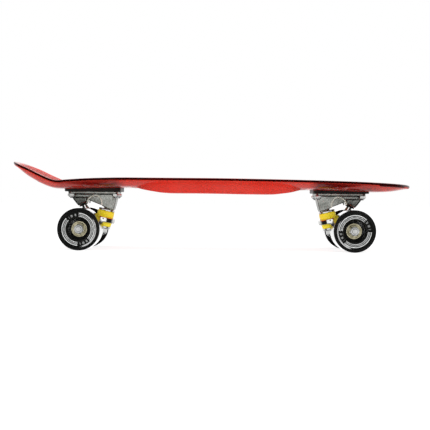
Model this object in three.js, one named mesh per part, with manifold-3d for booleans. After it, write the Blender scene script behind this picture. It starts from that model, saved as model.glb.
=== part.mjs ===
// A small plastic cruiser skateboard, in millimetres, +Z up.
// The tail points to -X and the nose to +X. The origin is on the ground under the middle of the board.
import * as THREE from "three";
import { mergeVertices } from "three/addons/utils/BufferGeometryUtils.js";
import Module from "manifold-3d";

const wasm = await Module();
wasm.setup();

// ---- Driving dimensions ----
const TAIL = 289.0; // tip of the tail behind the drawing's zero
const NOSE = 284.7; // tip of the nose before it
const DECK_HALF_WIDTH = 75;
const WHEELBASE = 383.5;
const WHEELBASE_SHIFT = 3; // the axles' midpoint lies this far before the drawing's zero
const BAND = 5.0; // height of the rim's upright side band
const RIM_STEP = 0.8; // the standing surface lies this far below the rim
const RIM_INSET = 7; // width of the rim

const RIB_TOP_INSET = 4.2; // underside ring rib, outer wall inset at the side
const RECESS_ROOF_Z = 95.4; // underside recess inside the ring rib

const WHEEL_R = 29.5;
const WHEEL_W = 45;
const WHEEL_SIDES = 24;
const WHEEL_Y = 51; // wheel centre from the board's centre plane
const BEARING_R = 11;
const BEARING_W = 7;
const BEARING_GAP = 10; // between the two bearings of a wheel
const AXLE_R = 4.0;
const AXLE_END = 71.4;
const AXLE_NUT_AF = 12.7;

const KINGPIN_TILT = THREE.MathUtils.degToRad(12.7); // top leans towards the board's middle
const KINGPIN_SEAT = [30.2, 54.8]; // u and z of the upper washer's bottom face centre
const KINGPIN_R = 4.75;
const RING_R = 15.6; // hanger ring round the kingpin
const RING_TOP = 9.3; // below the seat, along the kingpin
const RING_BOTTOM = 16.2;
const PIVOT_TIP = [-4.8, 67.5]; // u and z of the pivot nose's centre
const PIVOT_TILT = THREE.MathUtils.degToRad(24); // the pivot cup leans outwards

const RISER_TOP = 88.4;
const RISER_BOTTOM = 82.4;
const RISER_U = [-27.2, 53.4];
const RISER_HALF_Y = 27.5;
const FLANGE_TOP = 82.3;
const FLANGE_BOTTOM = 79.3;
const BOLT_U = [-17.75, 45.75]; // 63.5 mm apart
const BOLT_Y = 20.65; // 41.3 mm apart
const BOLT_R = 2.4;

// ---- Colours ----
const finish = (color, roughness, metalness, extra = {}) =>
  new THREE.MeshStandardMaterial({ color, roughness, metalness, ...extra });
const RED = finish(0xd92a1c, 0.12, 0);
const BLACK_PAD = finish(0x141412, 0.55, 0);
const CAST = finish(0x8f9188, 0.42, 0.9);
const POLISHED = finish(0xd8d9d6, 0.12, 1);
const STEEL = finish(0xb9bbb8, 0.25, 1);
const YELLOW = finish(0xe8cf16, 0.45, 0);
const BLACK_WHEEL = finish(0x0b0b0a, 0.2, 0);
const BEARING = finish(0xb8ae86, 0.3, 0.9);
const BOLT = finish(0xa9aaa6, 0.3, 1);

// ---- Solid helpers ----
// A closed geometry as a solid. Faces that fold to a line at an axis are dropped.
function solid(geometry, matrix) {
  let g = geometry.clone();
  for (const name of Object.keys(g.attributes))
    if (name !== "position") g.deleteAttribute(name);
  if (matrix) g.applyMatrix4(matrix);
  g = mergeVertices(g, 1e-4);
  const p = g.attributes.position.array;
  const index = g.index.array;
  const tris = [];
  for (let i = 0; i < index.length; i += 3) {
    const [a, b, c] = [index[i], index[i + 1], index[i + 2]];
    if (a !== b && b !== c && a !== c) tris.push(a, b, c);
  }
  const make = (t) =>
    new wasm.Manifold(
      new wasm.Mesh({
        numProp: 3,
        vertProperties: new Float32Array(p),
        triVerts: new Uint32Array(t),
      }),
    );
  const made = make(tris);
  if (made.volume() > 0) return made;
  for (let i = 0; i < tris.length; i += 3)
    [tris[i + 1], tris[i + 2]] = [tris[i + 2], tris[i + 1]];
  return make(tris);
}

function mesh(name, body, material) {
  const m = body.getMesh();
  const n = m.numProp;
  const v = new Float32Array(m.numVert * 3);
  for (let i = 0; i < m.numVert; i++)
    v.set(m.vertProperties.subarray(i * n, i * n + 3), i * 3);
  const g = new THREE.BufferGeometry();
  g.setAttribute("position", new THREE.BufferAttribute(v, 3));
  g.setIndex(new THREE.BufferAttribute(new Uint32Array(m.triVerts), 1));
  g.computeVertexNormals();
  const out = new THREE.Mesh(g, material);
  out.name = name;
  return out;
}

const at = (x, y, z) => new THREE.Matrix4().makeTranslation(x, y, z);
const turnX = (a) => new THREE.Matrix4().makeRotationX(a);
const turnY = (a) => new THREE.Matrix4().makeRotationY(a);

// A ring or rod turned about Y. The profile is a list of [radius, y] and closes on itself.
function turned(profile, segments) {
  const points = profile.map(([r, y]) => new THREE.Vector2(r, y));
  points.push(points[0].clone());
  return new THREE.LatheGeometry(points, segments);
}
// A turned piece whose flats, not its corners, lie on the stated radius: a wheel rests on a flat.
function turnedOnFlats(profile, segments) {
  const k = 1 / Math.cos(Math.PI / segments);
  const points = profile.map(
    ([r, y]) => new THREE.Vector2(r > 20 ? r * k : r, y),
  );
  points.push(points[0].clone());
  return solid(
    new THREE.LatheGeometry(points, segments, Math.PI / segments),
  );
}
// The same about Z.
const Y_TO_Z = turnX(Math.PI / 2);
const turnedZ = (profile, segments) =>
  solid(turned(profile, segments), Y_TO_Z);
const turnedY = (profile, segments) => solid(turned(profile, segments));

// A round bar along Z between two heights.
function barZ(r, z0, z1, segments, x = 0, y = 0) {
  const g = new THREE.CylinderGeometry(r, r, z1 - z0, segments);
  return solid(
    g,
    at(x, y, (z0 + z1) / 2).multiply(turnX(Math.PI / 2)),
  );
}
function barY(r, y0, y1, segments) {
  return solid(
    new THREE.CylinderGeometry(r, r, y1 - y0, segments),
    at(0, (y0 + y1) / 2, 0),
  );
}

// A polygon in the u-z plane, as thick as y0 to y1.
function slabY(points, y0, y1) {
  const shape = new THREE.Shape(points.map(([u, z]) => new THREE.Vector2(u, z)));
  const g = new THREE.ExtrudeGeometry(shape, {
    depth: y1 - y0,
    bevelEnabled: false,
    steps: 1,
  });
  // the shape's plane turns upright, and its depth then runs to -Y
  return solid(g, at(0, y1, 0).multiply(turnX(Math.PI / 2)));
}

// A polygon in the x-y plane, from z0 up to z1, with optional round holes.
function slabZ(points, z0, z1, holes = [], holeSegments = 12) {
  const shape = new THREE.Shape(points.map(([x, y]) => new THREE.Vector2(x, y)));
  for (const [x, y, r] of holes) {
    const hole = new THREE.Path();
    for (let i = 0; i <= holeSegments; i++) {
      const a = (-2 * Math.PI * i) / holeSegments;
      const q = [x + r * Math.cos(a), y + r * Math.sin(a)];
      if (i === 0) hole.moveTo(...q);
      else hole.lineTo(...q);
    }
    shape.holes.push(hole);
  }
  const g = new THREE.ExtrudeGeometry(shape, {
    depth: z1 - z0,
    bevelEnabled: false,
    steps: 1,
  });
  return solid(g, at(0, 0, z0));
}

function roundedRect(x0, x1, y0, y1, r, steps = 2) {
  const out = [];
  const corners = [
    [x1 - r, y0 + r, -Math.PI / 2],
    [x1 - r, y1 - r, 0],
    [x0 + r, y1 - r, Math.PI / 2],
    [x0 + r, y0 + r, Math.PI],
  ];
  for (const [cx, cy, a0] of corners)
    for (let i = 0; i <= steps; i++) {
      const a = a0 + ((Math.PI / 2) * i) / steps;
      out.push([cx + r * Math.cos(a), cy + r * Math.sin(a)]);
    }
  return out;
}

function hexagon(af, turn = 0) {
  const r = af / Math.sqrt(3);
  return [0, 1, 2, 3, 4, 5].map((i) => [
    r * Math.cos((i * Math.PI) / 3 + turn),
    r * Math.sin((i * Math.PI) / 3 + turn),
  ]);
}

// A lock nut along Z: a hexagon from z0 to z1, a round collar on to z2, and a round bore.
function lockNut(af, bore, collar, z0, z1, z2) {
  const n = 12;
  const circle = (r, z) =>
    Array.from({ length: n }, (_, i) => {
      const a = (2 * Math.PI * i) / n;
      return [r * Math.cos(a), r * Math.sin(a), z];
    });
  const corners = hexagon(af);
  const hex = (z) =>
    Array.from({ length: n }, (_, i) => {
      const [a, b] = [corners[i >> 1], corners[((i + 1) >> 1) % 6]];
      return [(a[0] + b[0]) / 2, (a[1] + b[1]) / 2, z];
    });
  return solid(
    throughRings(
      [circle(bore, z0), hex(z0), hex(z1), circle(collar, z2), circle(bore, z2)],
      true,
    ),
  );
}

// A surface through closed rings of equal length. With wrap the last ring meets the first, and
// otherwise the two end rings are closed across the line y = 0.
function throughRings(rings, wrap) {
  const n = rings[0].length;
  const position = rings.flat().flat();
  const index = [];
  const quads = wrap ? rings.length : rings.length - 1;
  for (let k = 0; k < quads; k++) {
    const a = k * n;
    const b = ((k + 1) % rings.length) * n;
    for (let i = 0; i < n; i++) {
      const j = (i + 1) % n;
      index.push(a + i, b + i, b + j, a + i, b + j, a + j);
    }
  }
  if (!wrap)
    for (const [base, flip] of [
      [0, false],
      [(rings.length - 1) * n, true],
    ])
      for (let i = 0; i < n / 2; i++) {
        // point i mirrors to point n - i, and point 0 and n / 2 lie on y = 0
        const [a, b] = [i, i + 1];
        const [c, d] = [(n - i) % n, n - i - 1];
        const faces = [
          [a, b, d],
          [a, d, c],
        ];
        for (const f of faces) {
          if (new Set(f).size < 3) continue;
          const t = f.map((v) => v + base);
          index.push(...(flip ? [t[0], t[2], t[1]] : t));
        }
      }
  const g = new THREE.BufferGeometry();
  g.setAttribute("position", new THREE.Float32BufferAttribute(position, 3));
  g.setIndex(index);
  return g;
}

function table(points) {
  return (x) => {
    if (x <= points[0][0]) return points[0][1];
    for (let i = 1; i < points.length; i++) {
      const [x0, y0] = points[i - 1];
      const [x1, y1] = points[i];
      if (x > x1) continue;
      const slope = (a, b) =>
        points[a] && points[b]
          ? (points[b][1] - points[a][1]) / (points[b][0] - points[a][0])
          : (y1 - y0) / (x1 - x0);
      const h = x1 - x0;
      const t = (x - x0) / h;
      const m0 = slope(i - 2, i) * h;
      const m1 = slope(i - 1, i + 1) * h;
      return (
        (2 * t ** 3 - 3 * t ** 2 + 1) * y0 +
        (t ** 3 - 2 * t ** 2 + t) * m0 +
        (-2 * t ** 3 + 3 * t ** 2) * y1 +
        (t ** 3 - t ** 2) * m1
      );
    }
    return points[points.length - 1][1];
  };
}

// ---- Deck ----
// Half of the outline seen from above, from the tail's middle to the nose's middle.
const HALF_OUTLINE = [
  [-TAIL, 0],
  [-TAIL + 0.2, 16],
  [-TAIL + 1.2, 31],
  [-TAIL + 5, 43],
  [-TAIL + 13, 51.5],
  [-TAIL + 27, 56.3],
  [-240, 60],
  [-200, 65.4],
  [-150, 70.3],
  [-100, 73.2],
  [-50, 74.7],
  [0, DECK_HALF_WIDTH],
  [50, DECK_HALF_WIDTH],
  [100, 74],
  [150, 70.6],
  [190, 64.6],
  [220, 57.0],
  [241, 48.4],
  [257, 39.4],
  [269.5, 29.2],
  [278.5, 18],
  [283.4, 8],
  [NOSE, 0],
];
// Heights of the rim's top and of the underside along the middle of each side.
const rimTop = table([
  [-289, 125.4],
  [-283, 122.7],
  [-274, 118.9],
  [-264.5, 115.0],
  [-255.6, 110.7],
  [-248, 107.0],
  [-241, 103.9],
  [-233, 100.5],
  [-226, 98.3],
  [-219, 97.6],
  [-210, 98.4],
  [-187, 100.0],
  [-159, 101.2],
  [-130, 101.8],
  [-90, 101.8],
  [-45, 101.8],
  [3, 101.8],
  [48, 101.4],
  [82, 101.0],
  [118, 100.5],
  [159, 99.7],
  [188, 99.1],
  [211, 98.5],
  [232, 97.8],
  [257, 96.8],
  [273, 95.9],
  [284.7, 94.9],
]);
const underside = table([
  [-289, 119.5],
  [-285, 116.0],
  [-277, 109.8],
  [-268, 104.0],
  [-260, 99.4],
  [-251, 94.6],
  [-242, 90.5],
  [-234, 87.8],
  [-228, 86.5],
  [-220, 86.0],
  [-205, 86.0],
  [-187, 86.7],
  [-157, 87.6],
  [-124, 88.4],
  [-57, 88.6],
  [3, 88.4],
  [63, 88.0],
  [130, 87.4],
  [173, 86.2],
  [219, 85.0],
  [236, 85.0],
  [253, 85.7],
  [268, 86.9],
  [284.7, 88.4],
]);

const OUTLINE_STEPS = 34; // along one half, closer together at the two ends
function outline() {
  const half = new THREE.CatmullRomCurve3(
    [
      ...HALF_OUTLINE.map(([x, y]) => new THREE.Vector3(x, y, 0)),
    ],
    false,
    "centripetal",
  );
  const side = half.getPoints(OUTLINE_STEPS).map((p) => [p.x, p.y]);
  side[0][1] = 0;
  side[OUTLINE_STEPS][1] = 0;
  const ring = side.map((p) => [...p]);
  for (let i = OUTLINE_STEPS - 1; i > 0; i--)
    ring.push([side[i][0], -side[i][1]]);
  return ring;
}
const EDGE = outline();
const INWARD = EDGE.map((p, i) => {
  const n = EDGE.length;
  const a = EDGE[(i + n - 1) % n];
  const b = EDGE[(i + 1) % n];
  const d = new THREE.Vector2(b[0] - a[0], b[1] - a[1]).normalize();
  return [d.y, -d.x];
});
const DEEP_INSET = 14;
function insetPoint(i, d) {
  const [x, y] = EDGE[i];
  return [x + INWARD[i][0] * d, y + INWARD[i][1] * d];
}
// Beyond the deepest true inset the rings shrink towards the middle line.
function deepPoint(i, k) {
  const [x, y] = insetPoint(i, DEEP_INSET);
  const cx = Math.max(-250, Math.min(236, x));
  return [x + (cx - x) * k, y * (1 - k)];
}
function deckHull() {
  const rings = [];
  const add = (point, z) =>
    rings.push(
      EDGE.map((_, i) => {
        const [x, y] = point(i);
        return [x, y, z(x)];
      }),
    );
  const top = (drop) => (x) => rimTop(x) - drop;
  const below = (share) => (x) =>
    rimTop(x) - BAND - (rimTop(x) - underside(x) - BAND) * share;
  // standing surface, rim, side band, underside
  add((i) => deepPoint(i, 0.6), top(RIM_STEP));
  add((i) => insetPoint(i, RIM_INSET + 1), top(RIM_STEP));
  add((i) => insetPoint(i, RIM_INSET), top(0));
  add((i) => insetPoint(i, 1.5), top(0));
  add((i) => insetPoint(i, 0), top(1.6));
  add((i) => insetPoint(i, 0.2), top(4));
  add((i) => insetPoint(i, 1.6), below(0));
  add((i) => insetPoint(i, 6), below(0.3));
  add((i) => insetPoint(i, DEEP_INSET), below(0.7));
  add((i) => deepPoint(i, 0.18), below(0.9));
  add((i) => deepPoint(i, 0.4), below(1));
  return solid(throughRings(rings, false));
}

// The ring rib between the trucks, blunt-ended in plan.
const RIB_X = [-117, 128];
const RIB_STEPS = 20; // along one half
function ribOutline(inset) {
  const cx = (RIB_X[0] + RIB_X[1]) / 2;
  const rx = (RIB_X[1] - RIB_X[0]) / 2 - inset;
  const ry = DECK_HALF_WIDTH - RIB_TOP_INSET - inset;
  const ring = [];
  const n = RIB_STEPS * 2;
  for (let i = 0; i < n; i++) {
    const a = Math.PI - (Math.PI * i) / RIB_STEPS;
    const c = Math.cos(a);
    const s = Math.sin(a);
    const e = 2 / 4.6;
    ring.push([
      cx + rx * Math.sign(c) * Math.abs(c) ** e,
      ry * Math.sign(s) * Math.abs(s) ** e,
    ]);
  }
  ring[0][1] = 0;
  ring[RIB_STEPS][1] = 0;
  return ring;
}
const ribBottom = table([
  [-117, 91.4],
  [-112, 88.7],
  [-106.5, 86.95],
  [-98.2, 85.05],
  [-89.8, 83.5],
  [-81.5, 82.4],
  [-73, 81.85],
  [-64.9, 81.5],
  [-27, 81.6],
  [-6.7, 81.5],
  [14, 81.3],
  [35, 81.0],
  [56, 80.85],
  [76, 80.8],
  [89, 80.95],
  [97, 81.65],
  [105.5, 82.85],
  [113.8, 84.75],
  [122.1, 87.0],
  [128, 88.9],
]);
function deck() {
  let body = deckHull();
  // a shallow level pocket seats each riser pad
  for (const [cx, turn] of TRUCKS) {
    const [x0, x1] = RISER_U.map((u) => cx + turn * u).sort((a, b) => a - b);
    body = body.subtract(
      slabZ(
        roundedRect(x0 - 0.6, x1 + 0.6, -RISER_HALF_Y - 0.6, RISER_HALF_Y + 0.6, 5),
        78,
        RISER_TOP + 0.1,
      ),
    );
  }
  // recess inside the ring rib, then the rib's own wall
  body = body.subtract(
    slabZ(ribOutline(11), 75, RECESS_ROOF_Z),
  );
  const loop = (inset, z) =>
    ribOutline(inset).map(([x, y]) => [x, y, z(x)]);
  const wall = solid(
    throughRings(
      [
        loop(0, () => 97.5),
        loop(1.2, (x) => ribBottom(x) + 2.6),
        loop(3.6, (x) => ribBottom(x)),
        loop(8.6, (x) => ribBottom(x)),
        loop(12, () => 97.5),
      ],
      true,
    ),
  );
  body = body.add(wall);
  // mounting holes with countersinks
  for (const [cx, turn] of TRUCKS)
    for (const u of BOLT_U)
      for (const y of [-BOLT_Y, BOLT_Y]) {
        const x = cx + turn * u;
        const head = rimTop(x) - RIM_STEP;
        body = body.subtract(
          turnedZ(
            [
              [0, 80],
              [BOLT_R + 0.3, 80],
              [BOLT_R + 0.3, head - 3.2],
              [5.1, head - 0.3],
              [5.1, head + 3],
              [0, head + 3],
            ],
            10,
          ).translate([x, y, 0]),
        );
      }
  return body;
}

const REAR_X = WHEELBASE_SHIFT - WHEELBASE / 2;
const FRONT_X = WHEELBASE_SHIFT + WHEELBASE / 2;
// Each truck's own frame has u towards the board's middle: the front one is turned half round.
const TRUCKS = [
  [REAR_X, 1],
  [FRONT_X, -1],
];

// ---- Truck pieces, in the truck's own frame ----
const BOLT_SPOTS = BOLT_U.flatMap((u) => [
  [u, -BOLT_Y],
  [u, BOLT_Y],
]);
const riserPad = slabZ(
  roundedRect(RISER_U[0], RISER_U[1], -RISER_HALF_Y, RISER_HALF_Y, 5),
  RISER_BOTTOM,
  RISER_TOP,
  BOLT_SPOTS.map(([u, y]) => [u, y, BOLT_R + 0.35]),
  8,
);

// Kingpin frame: origin at the upper washer's bottom face, +Z up along the kingpin.
const KINGPIN = at(KINGPIN_SEAT[0], 0, KINGPIN_SEAT[1]).multiply(
  turnY(KINGPIN_TILT),
);
const PIVOT = at(PIVOT_TIP[0], 0, PIVOT_TIP[1]).multiply(turnY(-PIVOT_TILT));
const moved = (body, matrix) => body.transform(matrix.elements);

function baseplate() {
  const flange = slabZ(
    roundedRect(-22.5, 49.5, -26, 26, 5),
    FLANGE_BOTTOM,
    FLANGE_TOP,
    BOLT_SPOTS.map(([u, y]) => [u, y, BOLT_R + 0.35]),
    10,
  );
  const SIDE = [
    [-19.2, 80],
    [-18.6, 74.2],
    [-17.0, 71.0],
    [-12.4, 65.0],
    [-9.7, 61.8],
    [3.0, 67.3],
    [2.8, 70.8],
    [23.2, 62.7],
    [31.5, 58.7],
    [41.7, 55.7],
    [43.0, 59.5],
    [48.2, 80],
  ];
  let body = slabY(SIDE, -13.5, 13.5);
  // arched pockets leave a web in the middle plane
  const POCKET = [
    [-2, 60],
    [3.9, 66.8],
    [5.2, 71.0],
    [8.4, 74.8],
    [12.8, 76.8],
    [17.4, 77.2],
    [21.2, 75.0],
    [23.6, 71.4],
    [25.0, 67.2],
    [25.2, 63.2],
    [24, 56],
  ];
  for (const side of [-1, 1])
    body = body.subtract(
      side > 0 ? slabY(POCKET, 5, 20) : slabY(POCKET, -20, -5),
    );
  body = body.add(flange);
  // the pivot boss narrows to a round collar about the pivot cup
  for (const side of [-1, 1])
    body = body.subtract(
      solid(
        new THREE.BoxGeometry(28, 8, 16),
        at(-12.2, side * 15.2, 64).multiply(turnX(side * 0.28)),
      ),
    );
  // pivot cup socket, kingpin bore and head pocket
  body = body.subtract(moved(barZ(6.0, -8, 4.6, 14), PIVOT));
  body = body.subtract(moved(barZ(KINGPIN_R + 0.3, -2, 30, 14), KINGPIN));
  body = body.subtract(
    moved(
      solid(
        new THREE.CylinderGeometry(9.2, 9.2, 16, 14),
        at(0, 0, 20.7 + 8).multiply(turnX(Math.PI / 2)),
      ),
      KINGPIN,
    ),
  );
  return body;
}

const kingpin = () => {
  const shaft = turnedZ(
    [
      [0, -35.2],
      [KINGPIN_R - 0.6, -35.2],
      [KINGPIN_R, -34.4],
      [KINGPIN_R, 21.2],
      [0, 21.2],
    ],
    14,
  );
  return shaft.add(slabZ(hexagon(14.3), 21.0, 25.2));
};

const upperWasher = () =>
  turnedZ(
    [
      [KINGPIN_R + 0.3, -1.5],
      [KINGPIN_R + 0.3, -3.1],
      [11.2, -3.1],
      [12.3, -2.2],
      [12.3, 0],
      [11.6, 0],
      [11.6, -1.5],
    ].map(([r, z]) => [r, -z]),
    14,
  );
const upperBushing = () =>
  turnedZ(
    [
      [KINGPIN_R + 0.3, 1.2],
      [11.2, 1.2],
      [11.3, -0.2],
      [12.0, -0.6],
      [12.3, -4.6],
      [11.9, -10.1],
      [KINGPIN_R + 0.3, -10.1],
    ],
    14,
  );
const lowerBushing = () =>
  turnedZ(
    [
      [KINGPIN_R + 0.3, -15.5],
      [11.5, -15.5],
      [11.9, -16.8],
      [10.9, -22.0],
      [9.9, -22.3],
      [9.8, -23.7],
      [KINGPIN_R + 0.3, -23.7],
    ],
    14,
  );
const lowerWasher = () =>
  turnedZ(
    [
      [KINGPIN_R + 0.3, -24.0],
      [10.1, -24.0],
      [10.1, -22.5],
      [10.8, -22.5],
      [10.8, -24.9],
      [9.8, -25.5],
      [KINGPIN_R + 0.3, -25.5],
    ],
    14,
  );
const kingpinNut = () =>
  lockNut(14.3, KINGPIN_R + 0.3, 6.5, -25.8, -32.0, -33.8);

const pivotCup = () =>
  turnedZ(
    [
      [0, 4.3],
      [5.7, 4.3],
      [5.7, -3.6],
      [6.9, -4.0],
      [6.9, -5.2],
      [5.1, -5.2],
      [4.7, 1.6],
      [3.0, 3.0],
      [0, 3.2],
    ],
    14,
  );

// A tube through [u, z, radius] stations in the middle plane, closed at both ends.
function arm(stations, n) {
  const position = [];
  const index = [];
  stations.forEach(([u, z, r], k) => {
    const a = stations[Math.max(0, k - 1)];
    const b = stations[Math.min(stations.length - 1, k + 1)];
    const d = new THREE.Vector2(b[0] - a[0], b[1] - a[1]).normalize();
    for (let i = 0; i < n; i++) {
      const q = (2 * Math.PI * i) / n;
      position.push(
        u - d.y * r * Math.cos(q),
        r * Math.sin(q),
        z + d.x * r * Math.cos(q),
      );
    }
  });
  const last = stations.length - 1;
  for (let k = 0; k < last; k++)
    for (let i = 0; i < n; i++) {
      const j = (i + 1) % n;
      const [a, b] = [k * n, (k + 1) * n];
      index.push(a + i, a + j, b + j, a + i, b + j, b + i);
    }
  for (let i = 1; i < n - 1; i++) {
    index.push(0, i + 1, i);
    index.push(last * n, last * n + i, last * n + i + 1);
  }
  const g = new THREE.BufferGeometry();
  g.setAttribute("position", new THREE.Float32BufferAttribute(position, 3));
  g.setIndex(index);
  return solid(g);
}

function hanger() {
  // ring about the kingpin
  let body = moved(
    turnedZ(
      [
        [6, -RING_TOP],
        [14.8, -RING_TOP],
        [RING_R, -RING_TOP - 0.9],
        [RING_R, -RING_BOTTOM],
        [6, -RING_BOTTOM],
      ],
      18,
    ),
    KINGPIN,
  );
  // bar about the axle, at height zero of its own frame
  const bar = moved(
    turnedY(
      [
        [AXLE_R + 0.1, -38],
        [7.0, -38],
        [7.6, -30],
        [9.0, -16],
        [9.0, 16],
        [7.6, 30],
        [7.0, 38],
        [AXLE_R + 0.1, 38],
      ],
      16,
    ),
    at(0, 0, WHEEL_R),
  );
  body = body.add(bar);
  // yoke plate from the bar to the ring
  const rise = Math.atan2(42.5 - WHEEL_R, 27.4);
  const plan = [
    [-1, -25],
    [5, -24],
    [14, -19],
    [24, -16.6],
    [34, -9],
    [34, 9],
    [24, 16.6],
    [14, 19],
    [5, 24],
    [-1, 25],
  ];
  const yoke = slabZ(plan, -4.2, 4.2);
  body = body.add(
    moved(yoke, at(0, 0, WHEEL_R).multiply(turnY(-rise))),
  );
  // pivot arm with its round nose
  body = body.add(
    arm(
      [
        [15.5, 39.5, 7.0],
        [9.0, 45.4, 6.6],
        [3.0, 53.2, 5.3],
        [-1.6, 61.0, 4.2],
        [-3.9, 65.8, 3.9],
        [-5.3, 68.6, 2.6],
        [-5.7, 69.6, 1.0],
      ],
      10,
    ),
  );
  // seats for the bushings, room below for the cup washer when the truck leans, and the holes
  body = body.subtract(
    moved(
      turnedZ(
        [
          [0, 3],
          [12.7, 3],
          [12.7, -RING_TOP - 1.1],
          [8.2, -RING_TOP - 1.1],
          [8.2, -RING_BOTTOM + 1.0],
          [12.3, -RING_BOTTOM + 1.0],
          [12.3, -17.4],
          [15.0, -20.6],
          [15.0, -36],
          [0, -36],
        ],
        18,
      ),
      KINGPIN,
    ),
  );
  body = body.subtract(
    moved(barY(AXLE_R + 0.15, -40, 40, 14), at(0, 0, WHEEL_R)),
  );
  return body;
}

const axle = () =>
  turnedY(
    [
      [0, -AXLE_END],
      [3.4, -AXLE_END],
      [AXLE_R, -AXLE_END + 0.7],
      [AXLE_R, AXLE_END - 0.7],
      [3.4, AXLE_END],
      [0, AXLE_END],
    ],
    14,
  );

function mountingBolt(cx, turn, u) {
  const head = rimTop(cx + turn * u) - RIM_STEP;
  return turnedZ(
    [
      [0, 72.8],
      [BOLT_R, 72.8],
      [BOLT_R, head - 3.4],
      [4.7, head - 0.7],
      [4.7, head - 0.1],
      [0, head - 0.1],
    ],
    10,
  );
}
const mountingNut = () =>
  lockNut(9.5, BOLT_R + 0.15, 4.0, FLANGE_BOTTOM - 0.1, 75.6, 74.4);

// ---- Wheel pieces, centred on the wheel, +Y outwards ----
const OUTER_BEARING = BEARING_GAP / 2; // inner face of each bearing from the wheel's middle
const wheel = () => {
  const half = WHEEL_W / 2;
  const side = [
    [WHEEL_R, half - 6.6],
    [WHEEL_R - 1.8, half - 2.2],
    [WHEEL_R - 6.0, half],
    [17.4, half - 0.6],
    [15.2, half - 9.8],
    [BEARING_R + 0.1, half - 10.3],
    [BEARING_R + 0.1, OUTER_BEARING - 0.1],
    [9.4, OUTER_BEARING - 0.1],
  ];
  return turnedOnFlats(
    [...side, ...side.map(([r, y]) => [r, -y]).reverse()],
    WHEEL_SIDES,
  );
};
const bearing = () =>
  turnedY(
    [
      [BEARING_R, 0],
      [BEARING_R, BEARING_W],
      [9.5, BEARING_W],
      [6.3, BEARING_W - 0.5],
      [6.3, 0.5],
      [9.5, 0],
    ],
    16,
  );
const sleeve = () => {
  const far = OUTER_BEARING + BEARING_W;
  const side = [
    [6.0, far + 0.9],
    [6.0, OUTER_BEARING],
    [5.3, OUTER_BEARING],
  ];
  return turnedY(
    [
      [AXLE_R + 0.25, far + 0.9],
      ...side,
      ...side.map(([r, y]) => [r, -y]).reverse(),
      [AXLE_R + 0.25, -far - 0.9],
    ],
    12,
  );
};
const axleNut = () =>
  moved(
    lockNut(AXLE_NUT_AF, AXLE_R + 0.2, 5.6, 0, 4.4, 6),
    turnX(-Math.PI / 2),
  );

// ---- The board ----
// The origin lies under the middle of the deck's length.
const group = new THREE.Group();
const board = new THREE.Group();
board.position.x = (TAIL - NOSE) / 2;
group.add(board);
board.add(mesh("deck", deck(), RED));

const baseplateSolid = baseplate();
const hangerSolid = hanger();
for (const [name, [cx, turn]] of [
  ["rear", TRUCKS[0]],
  ["front", TRUCKS[1]],
]) {
  const truck = new THREE.Group();
  truck.position.set(cx, 0, 0);
  truck.rotation.z = turn > 0 ? 0 : Math.PI;
  board.add(truck);

  truck.add(mesh(name + "_riser_pad", riserPad, BLACK_PAD));
  truck.add(mesh(name + "_baseplate", baseplateSolid, CAST));
  truck.add(mesh(name + "_hanger", hangerSolid, POLISHED));

  const stack = new THREE.Group();
  stack.position.set(KINGPIN_SEAT[0], 0, KINGPIN_SEAT[1]);
  stack.rotation.y = KINGPIN_TILT;
  truck.add(stack);
  stack.add(mesh(name + "_kingpin", kingpin(), STEEL));
  stack.add(mesh(name + "_upper_washer", upperWasher(), POLISHED));
  stack.add(mesh(name + "_upper_bushing", upperBushing(), YELLOW));
  stack.add(mesh(name + "_lower_bushing", lowerBushing(), YELLOW));
  stack.add(mesh(name + "_lower_washer", lowerWasher(), POLISHED));
  stack.add(mesh(name + "_kingpin_nut", kingpinNut(), STEEL));

  const cup = mesh(name + "_pivot_cup", pivotCup(), BLACK_PAD);
  cup.position.set(PIVOT_TIP[0], 0, PIVOT_TIP[1]);
  cup.rotation.y = -PIVOT_TILT;
  truck.add(cup);

  const rod = mesh(name + "_axle", axle(), STEEL);
  rod.position.set(0, 0, WHEEL_R);
  truck.add(rod);

  // bolts and nuts: inner or outer end of the baseplate, left or right side
  BOLT_SPOTS.forEach(([u, y], i) => {
    const spot = name + "_" + (u > 0 ? "inner" : "outer");
    const side = y * turn > 0 ? "left" : "right";
    const bolt = mesh(
      spot + "_" + side + "_mounting_bolt",
      mountingBolt(cx, turn, u),
      BOLT,
    );
    const nut = mesh(
      spot + "_" + side + "_mounting_nut",
      mountingNut(),
      BOLT,
    );
    bolt.position.set(u, y, 0);
    nut.position.set(u, y, 0);
    truck.add(bolt, nut);
  });

  // wheels: y towards +Y is the rider's left, facing the nose
  for (const [side, sign] of [
    ["left", 1],
    ["right", -1],
  ]) {
    const corner = new THREE.Group();
    corner.position.set(cx, sign * WHEEL_Y, WHEEL_R);
    corner.rotation.z = sign > 0 ? 0 : Math.PI;
    board.add(corner);
    const tag = name + "_" + side + "_";
    corner.add(mesh(tag + "wheel", wheel(), BLACK_WHEEL));
    const outer = mesh(tag + "outer_bearing", bearing(), BEARING);
    outer.position.y = OUTER_BEARING;
    const inner = mesh(tag + "inner_bearing", bearing(), BEARING);
    inner.position.y = -OUTER_BEARING - BEARING_W;
    const stackSleeve = mesh(tag + "bearing_sleeve", sleeve(), STEEL);
    const nut = mesh(tag + "axle_nut", axleNut(), STEEL);
    nut.position.y = OUTER_BEARING + BEARING_W + 1.1;
    corner.add(outer, inner, stackSleeve, nut);
  }
}

export default group;
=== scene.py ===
import bpy
import math
import numpy as np
from mathutils import Vector, Matrix


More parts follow.
